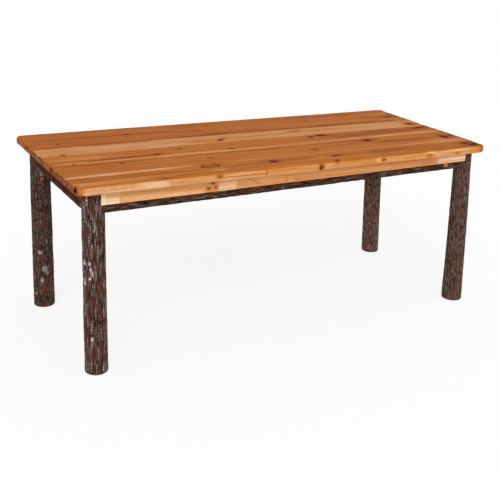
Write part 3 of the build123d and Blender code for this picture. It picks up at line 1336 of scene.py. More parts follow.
class Side(Enum):
    """A side of the frame, by its outward direction."""

    FRONT = (0, -1)
    BACK = (0, 1)
    LEFT = (-1, 0)
    RIGHT = (1, 0)

    @property
    def label(self) -> str:
        """The side's name as the frame's nodes spell it."""
        return self.name.lower()

    def to_table(self, inner_face: float, height: float) -> Matrix:
        """The matrix from a side's own frame (x along, y up, z out) to the table's.

        Args:
            inner_face: How far the side's inner face is from the middle of the table.
            height: The height of the side's own zero.

        Returns:
            A matrix that keeps millimetres.
        """
        out = Vector((*self.value, 0))
        up = Vector((0, 0, 1))
        along = up.cross(out)
        turned = Matrix((along, up, out)).transposed().to_4x4()
        return Matrix.Translation(out * inner_face + up * height) @ turned


def turned_places(matrix: Matrix, points: Array) -> Array:
    """Points of a side's own frame in the table's frame."""
    whole = np.array(matrix)
    return points @ whole[:3, :3].T + whole[:3, 3]


def side_faces(side: Side, node: str) -> tuple[float, ...]:
    """Where a node of a side lies.

    Args:
        side: The side.
        node: The CAD node.

    Returns:
        Its inner face, its outer face, half its length, its lowest height and how tall it is, in
        millimetres.
    """
    low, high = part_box(node)
    axis = 0 if side.value[0] else 1
    near, far = sorted((abs(low[axis]), abs(high[axis])))
    bottom = low.z / MM
    return near / MM, far / MM, high[1 - axis] / MM, bottom, high.z / MM - bottom


@dataclass
class Apron:
    """One apron: a plain planed board on edge, grooved inside for the buttons. Millimetres."""

    side: Side
    look: BoardLook
    material: Material
    cut: Material
    arris: float = 1.0
    groove_depth: float = 7.5
    groove_low: float = 28.0
    groove_high: float = 37.0
    groove_margin: float = 12.0
    housing_gap: float = 0.2
    rise: Pair = (0.0, 0.0)

    def build(self) -> None:
        """Build the apron in the place of its CAD node."""
        node = f"apron_{self.side.label}"
        inner, outer, half_length, bottom, height = side_faces(self.side, node)
        plank = Plank(
            half_length=half_length,
            low=0.0,
            high=height,
            face=outer - inner,
            back=0.0,
            outline_low=0.0,
            outline_high=height,
            corner_radius=self.arris,
            face_radius=self.arris,
            back_radius=self.arris,
            step_along=3.0 if self.look.blocks else 5.0,
            wall_rows=5,
            ripple=0.1,
        )
        vertices, faces = plank.skin(Noise(self.look.seed))
        lift = np.interp(vertices[:, 0], (-half_length, half_length), self.rise)
        vertices[:, 1] += lift * (1 - vertices[:, 1] / height)
        matrix = self.side.to_table(inner, bottom)
        places = turned_places(matrix, vertices) * MM
        piece = new_piece(node + "_board", places, faces, [self.material])
        sunk = self.look.sunk(vertices)[:, None] * MM
        move_vertices(piece, places - vertex_normals(piece) * sunk)
        facing = np.abs(vertex_normals(piece) @ np.array(matrix)[:3, 0])
        give_fields(piece, self.look.fields(vertices, facing))
        cut_away(piece, [self._groove(matrix)], self.cut)
        if self.side in (Side.FRONT, Side.BACK):
            cut_away(piece, self._housings(), self.cut)
        stand_for(piece, node)

    def _groove(self, matrix: Matrix) -> Shell:
        """The block that makes the groove for the buttons' tongues.

        Args:
            matrix: From the side's own frame to the table's.

        Returns:
            The block's corners and faces.
        """
        block_low, block_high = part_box("corner_block_front_right")
        clear = (block_low.x if self.side.value[1] else -block_high.y) / MM - self.groove_margin
        ends = ((-clear, self.groove_low, -5.0), (clear, self.groove_high, self.groove_depth))
        corners = turned_places(matrix, np.array(ends)) * MM
        return box_cutter(corners.min(0), corners.max(0))

    def _housings(self) -> list[Shell]:
        """The blocks that make the housings of the cross rails, open at the top.

        Returns:
            The corners and faces of each block.
        """
        gap = Vector((self.housing_gap * MM,) * 3)
        above = Vector((0, 0, 2 * MM))
        boxes = (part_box(name) for name in ("cross_rail_left", "cross_rail_right"))
        return [box_cutter(low - gap, high + gap + above) for low, high in boxes]


# ---------------- bark


@dataclass(frozen=True)
class BarkPattern:
    """How the bark of one log is broken: its ribs, its cracks and its lumps. Millimetres."""

    seed: int
    rib_width: float = 9.0
    rib_length: float = 80.0
    depth: float = 2.4
    wander: float = 5.0
    lump: float = 1.2

    def relief(self, points: Array) -> tuple[Array, Array]:
        """The relief of the bark, with the log's length along z.

        Args:
            points: Places on the log, in millimetres.

        Returns:
            The relief from 0 in a crack to 1 on a rib, and how far the skin moves out.
        """
        noise = Noise(self.seed)
        sway = noise.layered(points, (34.0, 34.0, 90.0), 2) * self.wander
        swirl = noise.layered(points + 400.0, (34.0, 34.0, 90.0), 2) * self.wander
        bent = points + np.stack([sway, swirl, 0 * sway], axis=-1)
        rim, number = noise.plates(bent, (self.rib_width, self.rib_width, self.rib_length))
        rib = ease(rim, 0.02, 0.42)
        fine = noise.layered(bent + 90.0, (2.6, 2.6, 26.0), 2)
        flake = noise.layered(points + 700.0, (6.0, 6.0, 9.0), 2)
        relief = np.clip(rib * (0.72 + 0.28 * number) + 0.16 * fine * rib + 0.14 * flake, 0, 1)
        lumps = noise.layered(points + 1300.0, (70.0, 70.0, 150.0), 2) * self.lump
        return relief, (relief - 0.75) * self.depth + lumps


@dataclass(frozen=True)
class Patch:
    """A patch on a log's bark: its height, its direction in degrees, its size and its strength."""

    height: float
    direction: float
    tall: float
    wide: float
    strength: float = 1.0


@dataclass
class LogLeg:
    """One log leg with its bark on, notched for the aprons and rails. Millimetres."""

    name: str
    pattern: BarkPattern
    bark: Material
    sawn: Material
    lichens: tuple[Patch, ...] = ()
    scars: tuple[Patch, ...] = ()
    rusts: tuple[Patch, ...] = ()
    foot_radius: float = 5.0
    shelf_lift: float = 0.0
    around: int = 230
    row_height: float = 3.0
    notch_gap: float = 0.2
    notch_reach: float = 200.0
    cap_shares: tuple[float, ...] = (0.9, 0.7, 0.45, 0.2, 0.08)

    def _ends(self) -> tuple[Array, float, Array, float]:
        """Where the log's foot and head are, from its CAD node.

        The head's inner side is cut away, so its circle is found from its two outer sides and
        from the diagonal between them.

        Returns:
            The foot's centre and radius, and the head's.
        """
        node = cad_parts[self.name]
        points = np.array([vertex.co for vertex in node.data.vertices]) / MM
        height = points[:, 2].max()
        foot = points[points[:, 2] < self.foot_radius + 0.2]
        head = points[points[:, 2] > height - 0.2]
        foot_centre = (foot.min(0) + foot.max(0))[:2] / 2
        foot_radius = float((foot.max(0) - foot.min(0))[0] / 2)
        sides = np.sign(foot_centre)
        outer = (head[:, :2] * sides).max(0)
        diagonal = (head[:, :2] * sides).sum(1).min()
        head_radius = float((outer.sum() - diagonal) / (2 + math.sqrt(2)))
        return foot_centre, foot_radius, sides * (outer - head_radius), head_radius

    def build(self) -> None:
        """Build the log in the place of its CAD node."""
        foot_centre, foot_radius, head_centre, head_radius = self._ends()
        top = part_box(self.name)[1].z / MM
        rounds = np.linspace(0, np.pi / 2, 5)
        low_rows = self.foot_radius * (1 - np.cos(rounds))
        high_rows = np.linspace(low_rows[-1], top, round(top / self.row_height))[1:]
        heights = np.concatenate([low_rows, high_rows])
        insets = np.zeros(len(heights))
        insets[: len(rounds)] = self.foot_radius * (1 - np.sin(rounds))
        turns = np.linspace(0, 2 * np.pi, self.around, endpoint=False)
        share = (heights / top)[:, None]
        radius = foot_radius + (head_radius - foot_radius) * share - insets[:, None]
        round_x, round_y = np.cos(turns)[None, :], np.sin(turns)[None, :]
        tall = heights[:, None] + 0 * round_x
        local = np.stack([radius * round_x, radius * round_y, tall], axis=-1).reshape(-1, 3)
        relief, out = self.pattern.relief(local)
        scar, raised = self._scarred(local)
        out = (out + raised).reshape(tall.shape)
        out *= np.minimum(1, 0.25 + heights / 14)[:, None]
        wide = radius + out
        centre = foot_centre + (head_centre - foot_centre) * share
        x, y = centre[:, :1] + wide * round_x, centre[:, 1:] + wide * round_y
        vertices, faces, kinds = self._closed(np.stack([x, y, tall], axis=-1))
        materials = [self.bark, self.sawn]
        piece = new_piece(self.name + "_log", vertices * MM, faces, materials, kinds, 75.0)
        worn = ease(local[:, 2], 6.0, 0.5)
        fields = {
            "relief": relief,
            "lichen": self._patched(local, self.lichens),
            "rusty": self._patched(local, self.rusts),
            "scar": np.maximum(scar, worn * 0.45),
        }
        on_caps = np.zeros(len(vertices) - len(local))
        whole = {name: np.concatenate([values, on_caps]) for name, values in fields.items()}
        give_fields(piece, whole)
        cut_away(piece, self._notches(), self.sawn)
        stand_for(piece, self.name)

    def _closed(self, wall: Array) -> tuple[Array, list, Array]:
        """Close a ringed wall with a gridded foot and head.

        Args:
            wall: Places in rings.

        Returns:
            Vertices, faces and each face's material number.
        """
        rings, around = wall.shape[:2]
        numbers = np.arange(rings * around).reshape(rings, around)
        closed = np.concatenate([numbers, numbers[:, :1]], axis=1)
        parts = [wall.reshape(-1, 3)]
        faces = quads(closed, True).tolist()
        bark_faces = len(faces)
        for edge, turned in ((0, True), (rings - 1, False)):
            middle = wall[edge].mean(0)
            rows = [numbers[edge]]
            for share in self.cap_shares:
                start = sum(len(part) for part in parts)
                parts.append(middle + (wall[edge] - middle) * share)
                rows.append(start + np.arange(around))
            grid = np.stack([np.append(row, row[0]) for row in rows])
            faces += quads(grid, not turned).tolist()
            faces.append((rows[-1] if turned else rows[-1][::-1]).tolist())
        kinds = np.ones(len(faces), int)
        kinds[:bark_faces] = 0
        return np.concatenate(parts), faces, kinds

    def _spread(self, points: Array, patch: Patch) -> Array:
        """How far each point lies from a patch's middle.

        Args:
            points: Places on the log, about its own axis.
            patch: The patch.

        Returns:
            Distances with the patch's rim at 1.
        """
        radius = np.hypot(points[:, 0], points[:, 1])
        turn = np.arctan2(points[:, 1], points[:, 0]) - math.radians(patch.direction)
        sideways = np.sin(turn / 2) * 2 * radius
        return np.hypot((points[:, 2] - patch.height) / patch.tall, sideways / patch.wide)

    def _patched(self, points: Array, patches: tuple[Patch, ...]) -> Array:
        """How much of some patches lies at each point.

        Args:
            points: Places on the log, about its own axis.
            patches: The patches.

        Returns:
            Shares from 0 to 1.
        """
        cover = np.zeros(len(points))
        for patch in patches:
            cover = np.maximum(cover, ease(self._spread(points, patch), 1.2, 0.5) * patch.strength)
        return cover

    def _scarred(self, points: Array) -> tuple[Array, Array]:
        """The bare wood of branch scars, and the collar that stands up round each.

        Args:
            points: Places on the log, about its own axis.

        Returns:
            How bare each place is, and how far it is raised.
        """
        bare = np.zeros(len(points))
        raised = np.zeros(len(points))
        for patch in self.scars:
            spread = self._spread(points, patch)
            bare = np.maximum(bare, ease(spread, 0.75, 0.4) * patch.strength)
            raised += 2.2 * np.exp(-(((spread - 1.0) / 0.35) ** 2)) - 2.0 * ease(spread, 0.8, 0.2)
        return bare, raised

    def _notches(self) -> list[Shell]:
        """The blocks cut out for the long and the short apron with their rails.

        Returns:
            The corners and faces of each block.
        """
        low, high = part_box(self.name)
        side_x = 1 if low.x > 0 else -1
        side_y = 1 if low.y > 0 else -1
        long_node = "apron_front" if side_y < 0 else "apron_back"
        short_node = "apron_left" if side_x < 0 else "apron_right"
        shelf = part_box("bark_rail_front")[0].z - 0.5 * MM
        long_shelf = shelf + self.shelf_lift * MM
        gap = self.notch_gap * MM
        long_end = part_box(long_node)[1].x + gap
        short_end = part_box(short_node)[1].y + gap
        inner_y = min(abs(corner.y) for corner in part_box(long_node))
        inner_x = min(abs(corner.x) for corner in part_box(short_node))
        past = self.notch_reach * MM
        blocks = (
            ((long_end - past, inner_y), (long_end, inner_y + past), long_shelf),
            ((inner_x, short_end - past), (inner_x + past, short_end), shelf),
        )
        above = high.z + 50 * MM
        made = []
        for (x0, y0), (x1, y1), floor in blocks:
            xs = sorted((side_x * x0, side_x * x1))
            ys = sorted((side_y * y0, side_y * y1))
            made.append(box_cutter(Vector((xs[0], ys[0], floor)), Vector((xs[1], ys[1], above))))
        return made


@dataclass
class BarkRail:
    """One bark-on rail: a pole planed flat on its top and on its inner side. Millimetres.

    Each cut branch says how far along it is, its angle in degrees and its size, and each rubbed
    place how far along it is and how far it reaches. The rise is that of its left and right end.
    """

    side: Side
    pattern: BarkPattern
    bark: Material
    sawn: Material
    cut_branches: tuple[Triple, ...] = ()
    rubbed: tuple[Pair, ...] = ()
    rise: Pair = (0.0, 0.0)
    pole_radius: float = 17.5
    step: float = 3.0
    arc_points: int = 44
    flat_points: int = 8
    hole_radius: float = 4.75
    hole_depth: float = 13.0

    def _section(self, centre: Array) -> Array:
        """The outline of the pole across its length.

        Args:
            centre: The height and depth of the pole's axis below its flat top and behind its
                inner side.

        Returns:
            Heights and depths: the round side first, then the two flats.
        """
        radius = self.pole_radius
        reach = math.sqrt(radius**2 - centre[0] ** 2)
        side_reach = math.sqrt(radius**2 - centre[1] ** 2)
        first = math.atan2(-centre[0], reach)
        last = math.atan2(-side_reach, -centre[1])
        angles = np.linspace(first, last, self.arc_points)
        arc = centre + radius * np.stack([np.sin(angles), np.cos(angles)], axis=1)
        flat = np.zeros(self.flat_points)
        side_flat = np.stack([np.linspace(arc[-1, 0], 0, self.flat_points), flat], axis=1)
        top_flat = np.stack([flat, np.linspace(0, arc[0, 1], self.flat_points)], axis=1)
        return np.concatenate([arc, side_flat[1:], top_flat[1:-1]])

    def _marks(self, along: Array, turn: Array) -> tuple[Array, Array, Array]:
        """The stubs of cut branches, and the places where the bark is rubbed to its rusty layer.

        Args:
            along: How far along the pole each point is.
            turn: Its angle round the pole.

        Returns:
            How far each point is raised, how bare it is and how rusty.
        """
        raised, bare, rusty = np.zeros((3, len(along)))
        for place, angle, size in self.cut_branches:
            sideways = (turn - math.radians(angle)) * self.pole_radius
            spread = np.hypot(along - place, sideways) / size
            raised += 2.4 * ease(spread, 1.3, 0.8)
            bare = np.maximum(bare, ease(spread, 0.95, 0.75))
        for place, reach in self.rubbed:
            rusty = np.maximum(rusty, np.exp(-(((along - place) / reach) ** 2)))
        return raised, bare, 1.6 * rusty

    def build(self) -> None:
        """Build the rail in the place of its CAD node."""
        node = f"bark_rail_{self.side.label}"
        inner, outer, half_length, bottom, height = side_faces(self.side, node)
        centre = np.array([self.pole_radius - height, outer - inner - self.pole_radius])
        section = self._section(centre)
        count = round(2 * half_length / self.step) + 1
        stations = np.linspace(-half_length, half_length, count)
        along = np.repeat(stations, len(section))
        points = np.column_stack([along, np.tile(section, (count, 1))])
        relief, moved = self.pattern.relief(points[:, [1, 2, 0]])
        radial = points[:, 1:] - centre
        raised, bare, rusty = self._marks(along, np.arctan2(radial[:, 0], radial[:, 1]))
        moved = np.minimum(moved, 0.3) + raised
        on_arc = np.arange(self.arc_points)
        from_flat = np.minimum(on_arc, self.arc_points - 1 - on_arc)
        on_flats = np.zeros(len(section) - self.arc_points)
        moved *= np.tile(np.concatenate([ease(from_flat, 0, 3), on_flats]), count)
        points[:, 1:] += moved[:, None] * radial / self.pole_radius
        points[:, 1] += np.interp(along, (-half_length, half_length), self.rise)
        numbers = np.arange(len(points)).reshape(count, -1)
        closed = np.concatenate([numbers, numbers[:, :1]], axis=1)
        faces = quads(closed).tolist() + [numbers[0].tolist(), numbers[-1][::-1].tolist()]
        bands = np.ones(len(section), int)
        bands[: self.arc_points - 1] = 0
        kinds = np.append(np.tile(bands, count - 1), [1, 1])
        places = turned_places(self.side.to_table(inner, bottom + height), points) * MM
        piece = new_piece(node + "_pole", places, faces, [self.bark, self.sawn], kinds, 50.0)
        give_fields(piece, {"relief": relief, "lichen": 0 * relief, "rusty": rusty, "scar": bare})
        self._drill(piece, bottom)
        stand_for(piece, node)

    def _drill(self, piece: Piece, bottom: float) -> None:
        """Sink the holes for the rail's screws into its underside.

        Args:
            piece: The rail.
            bottom: The height of its underside.
        """
        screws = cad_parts["rail_screws"]
        points = np.array([vertex.co for vertex in screws.data.vertices]) / MM
        heads = points[points[:, 2] < bottom + self.hole_depth + 0.1]
        low, high = (np.array(corner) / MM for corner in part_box(f"bark_rail_{self.side.label}"))
        inside = ((heads[:, :2] > low[:2]) & (heads[:, :2] < high[:2])).all(1)
        axis = 0 if self.side.value[1] else 1
        ordered = heads[inside][np.argsort(heads[inside][:, axis])]
        gaps = np.flatnonzero(np.diff(ordered[:, axis]) > 2 * self.hole_radius) + 1
        low_z, high_z = (bottom - 8) * MM, (bottom + self.hole_depth) * MM
        cutters = []
        for group in np.split(ordered, gaps):
            middle = Vector((group.min(0) + group.max(0)) / 2 * MM)
            cutters.append(round_cutter(middle, self.hole_radius * MM, low_z, high_z))
        cut_away(piece, cutters, self.sawn)


# ---------------- pieces that stay as the frame has them


def dress(node: str, material: Material, arris: float, segments: int = 2) -> None:
    """Give a CAD node a finish and soften its edges.

    Args:
        node: The CAD node.
        material: Its finish.
        arris: How wide the softened edge is, in millimetres.
        segments: How many faces the softened edge has.
    """
    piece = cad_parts[node]
    piece.data.materials.clear()
    piece.data.materials.append(material)
    bevel = piece.modifiers.new("arris", "BEVEL")
    bevel.width = arris * MM
    bevel.segments = segments
    bevel.limit_method = "ANGLE"
    bevel.angle_limit = math.radians(40)
    log.info("%s: dressed in %s", node, material.name)


# ---------------- studio


@dataclass
class Lamp:
    """A broad soft light from one direction, the same all over the studio."""

    name: str
    toward: Triple
    level: float
    spread: float

    def build(self) -> None:
        """Hang the lamp. A face that looks straight at it gains `level` of its own colour."""
        light = bpy.data.lights.new(self.name, "SUN")
        light.energy = self.level * math.pi
        light.angle = math.radians(self.spread)
        made = bpy.data.objects.new(self.name, light)
        made.rotation_mode = "QUATERNION"
        made.rotation_quaternion = Vector(self.toward).to_track_quat("Z", "Y")
        bpy.context.scene.collection.objects.link(made)


@dataclass
class Camera:
    """The camera: where it stands in metres, its turn, dip and tilt in radians, and its lens.

    The lens and the picture's centre are in pixels of a picture that is `picture` pixels wide.
    """

    place: Triple = (-1.74538, -3.02789, 1.57436)
    turn: float = 0.551668
    dip: float = 0.341101
    tilt: float = 0.056359
    focal_pixels: float = 856.289
    centre: Pair = (280.0, 230.0)
    picture: float = 500.0
    sensor: float = 36.0
    far: float = 200.0

    def build(self) -> None:
        """Set up the camera and make it the scene's."""
        level_cos = math.cos(self.dip)
        x, y = math.sin(self.turn) * level_cos, math.cos(self.turn) * level_cos
        forward = Vector((x, y, -math.sin(self.dip)))
        level = Vector((math.cos(self.turn), -math.sin(self.turn), 0))
        rise = level.cross(forward)
        right = math.cos(self.tilt) * level + math.sin(self.tilt) * rise
        up = math.cos(self.tilt) * rise - math.sin(self.tilt) * level
        data = bpy.data.cameras.new("camera")
        data.sensor_width = self.sensor
        data.lens = self.focal_pixels / self.picture * self.sensor
        data.shift_x = (self.picture / 2 - self.centre[0]) / self.picture
        data.shift_y = (self.centre[1] - self.picture / 2) / self.picture
        data.clip_end = self.far
        made = bpy.data.objects.new("camera", data)
        turned = Matrix((right, up, -forward)).transposed().to_4x4()
        made.matrix_world = Matrix.Translation(self.place) @ turned
        bpy.context.scene.collection.objects.link(made)
        bpy.context.scene.camera = made


@dataclass
class Studio:
    """The floor, the world and the lamps.

    The glow is how much of the floor is plain white to the rays that see it. The rest is lit, and
    keeps the table's shadow.
    """

    ambient: float = 0.6
    floor_half: float = 40.0
    floor_white: float = 0.95
    floor_glow: float = 0.82
    lamps: tuple[Lamp, ...] = (
        Lamp("key_lamp", (-0.45, -0.7, 0.55), 0.55, 40.0),
        Lamp("fill_lamp", (0.6, -0.6, 0.5), 0.15, 60.0),
    )

    def build(self) -> None:
        """Build the studio round the table."""
        self._world()
        self._floor()
        for lamp in self.lamps:
            lamp.build()

    @staticmethod
    def _seen(graph: Graph) -> Value:
        """Tell the rays that see the background from those that carry light to the table.

        Args:
            graph: The nodes that ask.

        Returns:
            1 for the rays that see it, 0 for the others.
        """
        rays = graph.node("ShaderNodeLightPath").outputs
        seen = Value(graph, rays["Is Camera Ray"]) + Value(graph, rays["Is Glossy Ray"])
        return (seen + Value(graph, rays["Is Transmission Ray"])).at_most(1.0)

    def _world(self) -> None:
        """A white world, dimmer for the light that it sends to the table."""
        world = bpy.data.worlds.new("studio")
        world.use_nodes = True
        bpy.context.scene.world = world
        graph = Graph(world.node_tree)
        strength = self.ambient + (1 - self.ambient) * self._seen(graph)
        inputs = {"Color": (1.0, 1.0, 1.0, 1.0), "Strength": strength}
        background = graph.node("ShaderNodeBackground", None, inputs)
        graph.node("ShaderNodeOutputWorld", None, {"Surface": background.outputs[0]})

    def _floor(self) -> None:
        """A plain pale floor that keeps the table's shadow and can be looked through from below."""
        half = self.floor_half
        corners = np.array([(-half, -half, 0), (half, -half, 0), (half, half, 0), (-half, half, 0)])
        made, graph = new_material("studio_floor")
        white = (self.floor_white, self.floor_white, self.floor_white, 1.0)
        matt = graph.node("ShaderNodeBsdfDiffuse", None, {"Color": white}).outputs[0]
        bright = {"Color": (1.0, 1.0, 1.0, 1.0), "Strength": 1.0}
        glow = graph.node("ShaderNodeEmission", None, bright).outputs[0]
        share = self._seen(graph) * self.floor_glow
        lit = graph.node("ShaderNodeMixShader", None, {0: share, 1: matt, 2: glow}).outputs[0]
        clear = graph.node("ShaderNodeBsdfTransparent").outputs[0]
        below = graph.node("ShaderNodeNewGeometry").outputs["Backfacing"]
        whole = graph.node("ShaderNodeMixShader", None, {0: below, 1: lit, 2: clear}).outputs[0]
        graph.node("ShaderNodeOutputMaterial", None, {"Surface": whole})
        floor = new_piece("floor", corners, [[0, 1, 2, 3]], [made])


# ---------------- the table's own boards, logs and poles

HICKORY_STOPS: Stops = (
    (0.0, paint(78, 31, 3)),
    (0.25, paint(138, 66, 10)),
    (0.45, paint(171, 93, 25)),
    (0.65, paint(188, 113, 44)),
    (0.8, paint(197, 134, 78)),
    (0.92, paint(205, 155, 108)),
    (1.0, paint(214, 176, 136)),
)

APRON_STOPS: Stops = (
    (0.0, paint(128, 72, 34)),
    (0.25, paint(188, 118, 66)),
    (0.5, paint(211, 145, 87)),
    (0.7, paint(222, 165, 111)),
    (0.88, paint(234, 191, 149)),
    (1.0, paint(243, 214, 182)),
)

# The short aprons' colours: the apron wood darkened with painted shade, for the shade under the top's
# overhang.
SHADED_APRON_STOPS: Stops = (
    (0.0, paint(54, 27, 13)),
    (0.5, paint(94, 50, 24)),
    (1.0, paint(146, 88, 48)),
)

# The sawn right end of the top, where the finish has soaked in.
DARK_END = Smear(916, 0, (17, 4000, 40), -0.65)

BACK_BOARD = BoardLook(
    seed=11,
    tone=0.45,
    pith=(330, 640),
    streaks=(
        Streak(-690, 378, -380, 378, 16, -0.2),
        Streak(-250, 362, 0, 358, 17, -0.15),
        Streak(230, 344, 700, 338, 16, -0.15),
        Streak(-260, 328, -40, 326, 18, -0.1),
        Streak(-860, 270, -280, 272, 14, -0.22),
        Streak(180, 276, 420, 274, 8, -0.1),
        Streak(-640, 335, -560, 326, 8, 0.2),
        Streak(790, 300, 905, 300, 26, 0.22),
    ),
    knots=(
        Knot(-482, 277, (12, 8, 30), 0.7),
        Knot(390, 275, (9, 5, 12), 0.4),
        Knot(888, 286, (12, 12, 14), 0.6),
    ),
    smears=(DARK_END,),
)

SECOND_BOARD = BoardLook(
    seed=12,
    tone=0.46,
    pith=(206, 650),
    streaks=(
        Streak(-905, 156, -650, 158, 14, -0.22),
        Streak(-650, 160, -520, 154, 18, -0.26),
        Streak(-520, 154, -310, 159, 13, -0.26),
        Streak(-310, 159, -10, 165, 14, -0.22),
        Streak(-190, 172, -50, 172, 14, -0.14),
        Streak(-10, 165, 850, 162, 15, -0.22),
        Streak(310, 158, 490, 160, 17, -0.1),
        Streak(630, 158, 800, 160, 15, -0.14),
        Streak(-270, 247, -140, 247, 17, -0.17),
        Streak(690, 249, 825, 247, 17, -0.36),
        Streak(-700, 225, -300, 222, 26, 0.06),
        Streak(200, 215, 640, 210, 30, 0.06),
    ),
    knots=(
        Knot(-795, 200, (11, 8, 20), 0.35),
        Knot(840, 235, (20, 13, 30), 0.9),
        Knot(890, 232, (13, 16, 40), 0.9),
    ),
    smears=(
        Smear(860, 200, (60, 22, 60), 0.14),
        DARK_END,
    ),
)

PALE_BOARD = BoardLook(
    seed=13,
    tone=0.8,
    pith=(86, 560),
    streaks=(
        Streak(-905, 145, -640, 143, 10, -0.3),
        Streak(-690, 141, -430, 142, 20, -0.34),
        Streak(200, 146, 905, 146, 11, -0.3),
        Streak(-400, 29, 120, 28, 12, -0.25),
        Streak(100, 25, 905, 16, 6, -0.2),
        Streak(-300, 72, -190, 70, 34, -0.22),
        Streak(-780, 100, -420, 96, 22, 0.09),
    ),
    knots=(
        Knot(-153, 68, (21, 9, 18), 0.8, 40, 0.3, 0.3),
        Knot(-828, 27, (7, 10, 18), 0.95),
        Knot(232, 108, (24, 8, 12), 0.5, 0, 0.2, 0.2),
        Knot(845, 76, (19, 17, 60), 0.95),
    ),
    smears=(
        Smear(872, 58, (34, 13, 40), -0.5),
        Smear(-540, 60, (70, 22, 40), -0.07),
        Smear(620, 90, (150, 22, 40), 0.08),
        Smear(380, 100, (60, 18, 40), -0.06),
        DARK_END,
    ),
    drift=0.05,
)

FOURTH_BOARD = BoardLook(
    seed=14,
    tone=0.49,
    pith=(-44, 640),
    streaks=(
        Streak(-905, -30, -690, -32, 60, 0.14),
        Streak(-780, -81, -460, -61, 14, -0.4),
        Streak(-880, -92, -500, -96, 20, 0.24),
        Streak(-500, -96, 20, -96, 31, 0.32),
        Streak(20, -91, 890, -84, 38, 0.22),
        Streak(270, -92, 440, -88, 20, 0.13),
        Streak(500, -84, 850, -82, 26, 0.17),
        Streak(540, 5, 700, 5, 15, -0.28),
        Streak(-300, 8, 230, 6, 20, 0.06),
        Streak(-640, -20, -420, -22, 16, -0.09),
        Streak(420, -40, 860, -44, 26, -0.08),
        Streak(330, -35, 930, -35, 90, -0.11),
        Streak(520, -22, 900, -24, 9, -0.16),
    ),
    knots=(
        Knot(-375, -12, (11, 8, 16), 0.5),
        Knot(-490, -60, (13, 6, 12), 0.8),
        Knot(-175, -72, (10, 8, 18), 0.5),
        Knot(-830, -100, (5, 5, 18), 0.8),
        Knot(302, 12, (20, 19, 40), 0.95),
        Knot(243, -8, (11, 12, 26), 0.7),
        Knot(838, -6, (36, 8, 40), 0.95, 14),
    ),
    smears=(
        Smear(-155, -50, (22, 9, 30), 0.22),
        Smear(325, -12, (16, 8, 30), -0.24),
        Smear(292, 8, (70, 16, 30), -0.14),
        Smear(850, -2, (50, 12, 30), -0.3),
        DARK_END,
    ),
)

FIFTH_BOARD = BoardLook(
    seed=15,
    tone=0.52,
    pith=(-190, 630),
    streaks=(
        Streak(-880, -121, -320, -123, 13, -0.24),
        Streak(-320, -123, -30, -128, 15, -0.24),
        Streak(-30, -128, 250, -124, 19, -0.24),
        Streak(250, -122, 480, -115, 13, -0.22),
        Streak(-140, -134, -20, -136, 14, -0.1),
        Streak(-905, -165, -480, -165, 9, -0.18),
        Streak(-905, -187, -480, -187, 9, -0.18),
        Streak(-905, -205, -480, -205, 8, -0.2),
        Streak(-905, -219, -480, -219, 8, -0.18),
        Streak(-905, -235, -480, -235, 9, -0.18),
        Streak(-905, -194, -440, -194, 80, 0.1),
        Streak(250, -170, 430, -152, 13, -0.2),
        Streak(480, -180, 760, -196, 52, -0.16),
        Streak(-200, -215, 120, -216, 20, 0.07),
        Streak(-930, -185, -560, -185, 120, -0.06),
    ),
    knots=(
        Knot(-660, -135, (9, 7, 12), 0.6),
        Knot(-322, -175, (11, 7, 12), 0.4),
        Knot(450, -133, (19, 17, 40), 0.95),
        Knot(140, -198, (13, 7, 14), 0.75),
        Knot(833, -187, (17, 22, 60), 0.95, 0, 1.2, 0.9),
    ),
    smears=(
        Smear(-600, -190, (40, 14, 40), 0.12),
        Smear(486, -138, (34, 10, 40), -0.3),
        Smear(425, -132, (40, 12, 40), -0.2),
        Smear(800, -222, (70, 20, 40), 0.16),
        Smear(852, -166, (9, 6, 20), 0.5),
        Smear(872, -188, (34, 26, 40), -0.34),
        DARK_END,
    ),
)

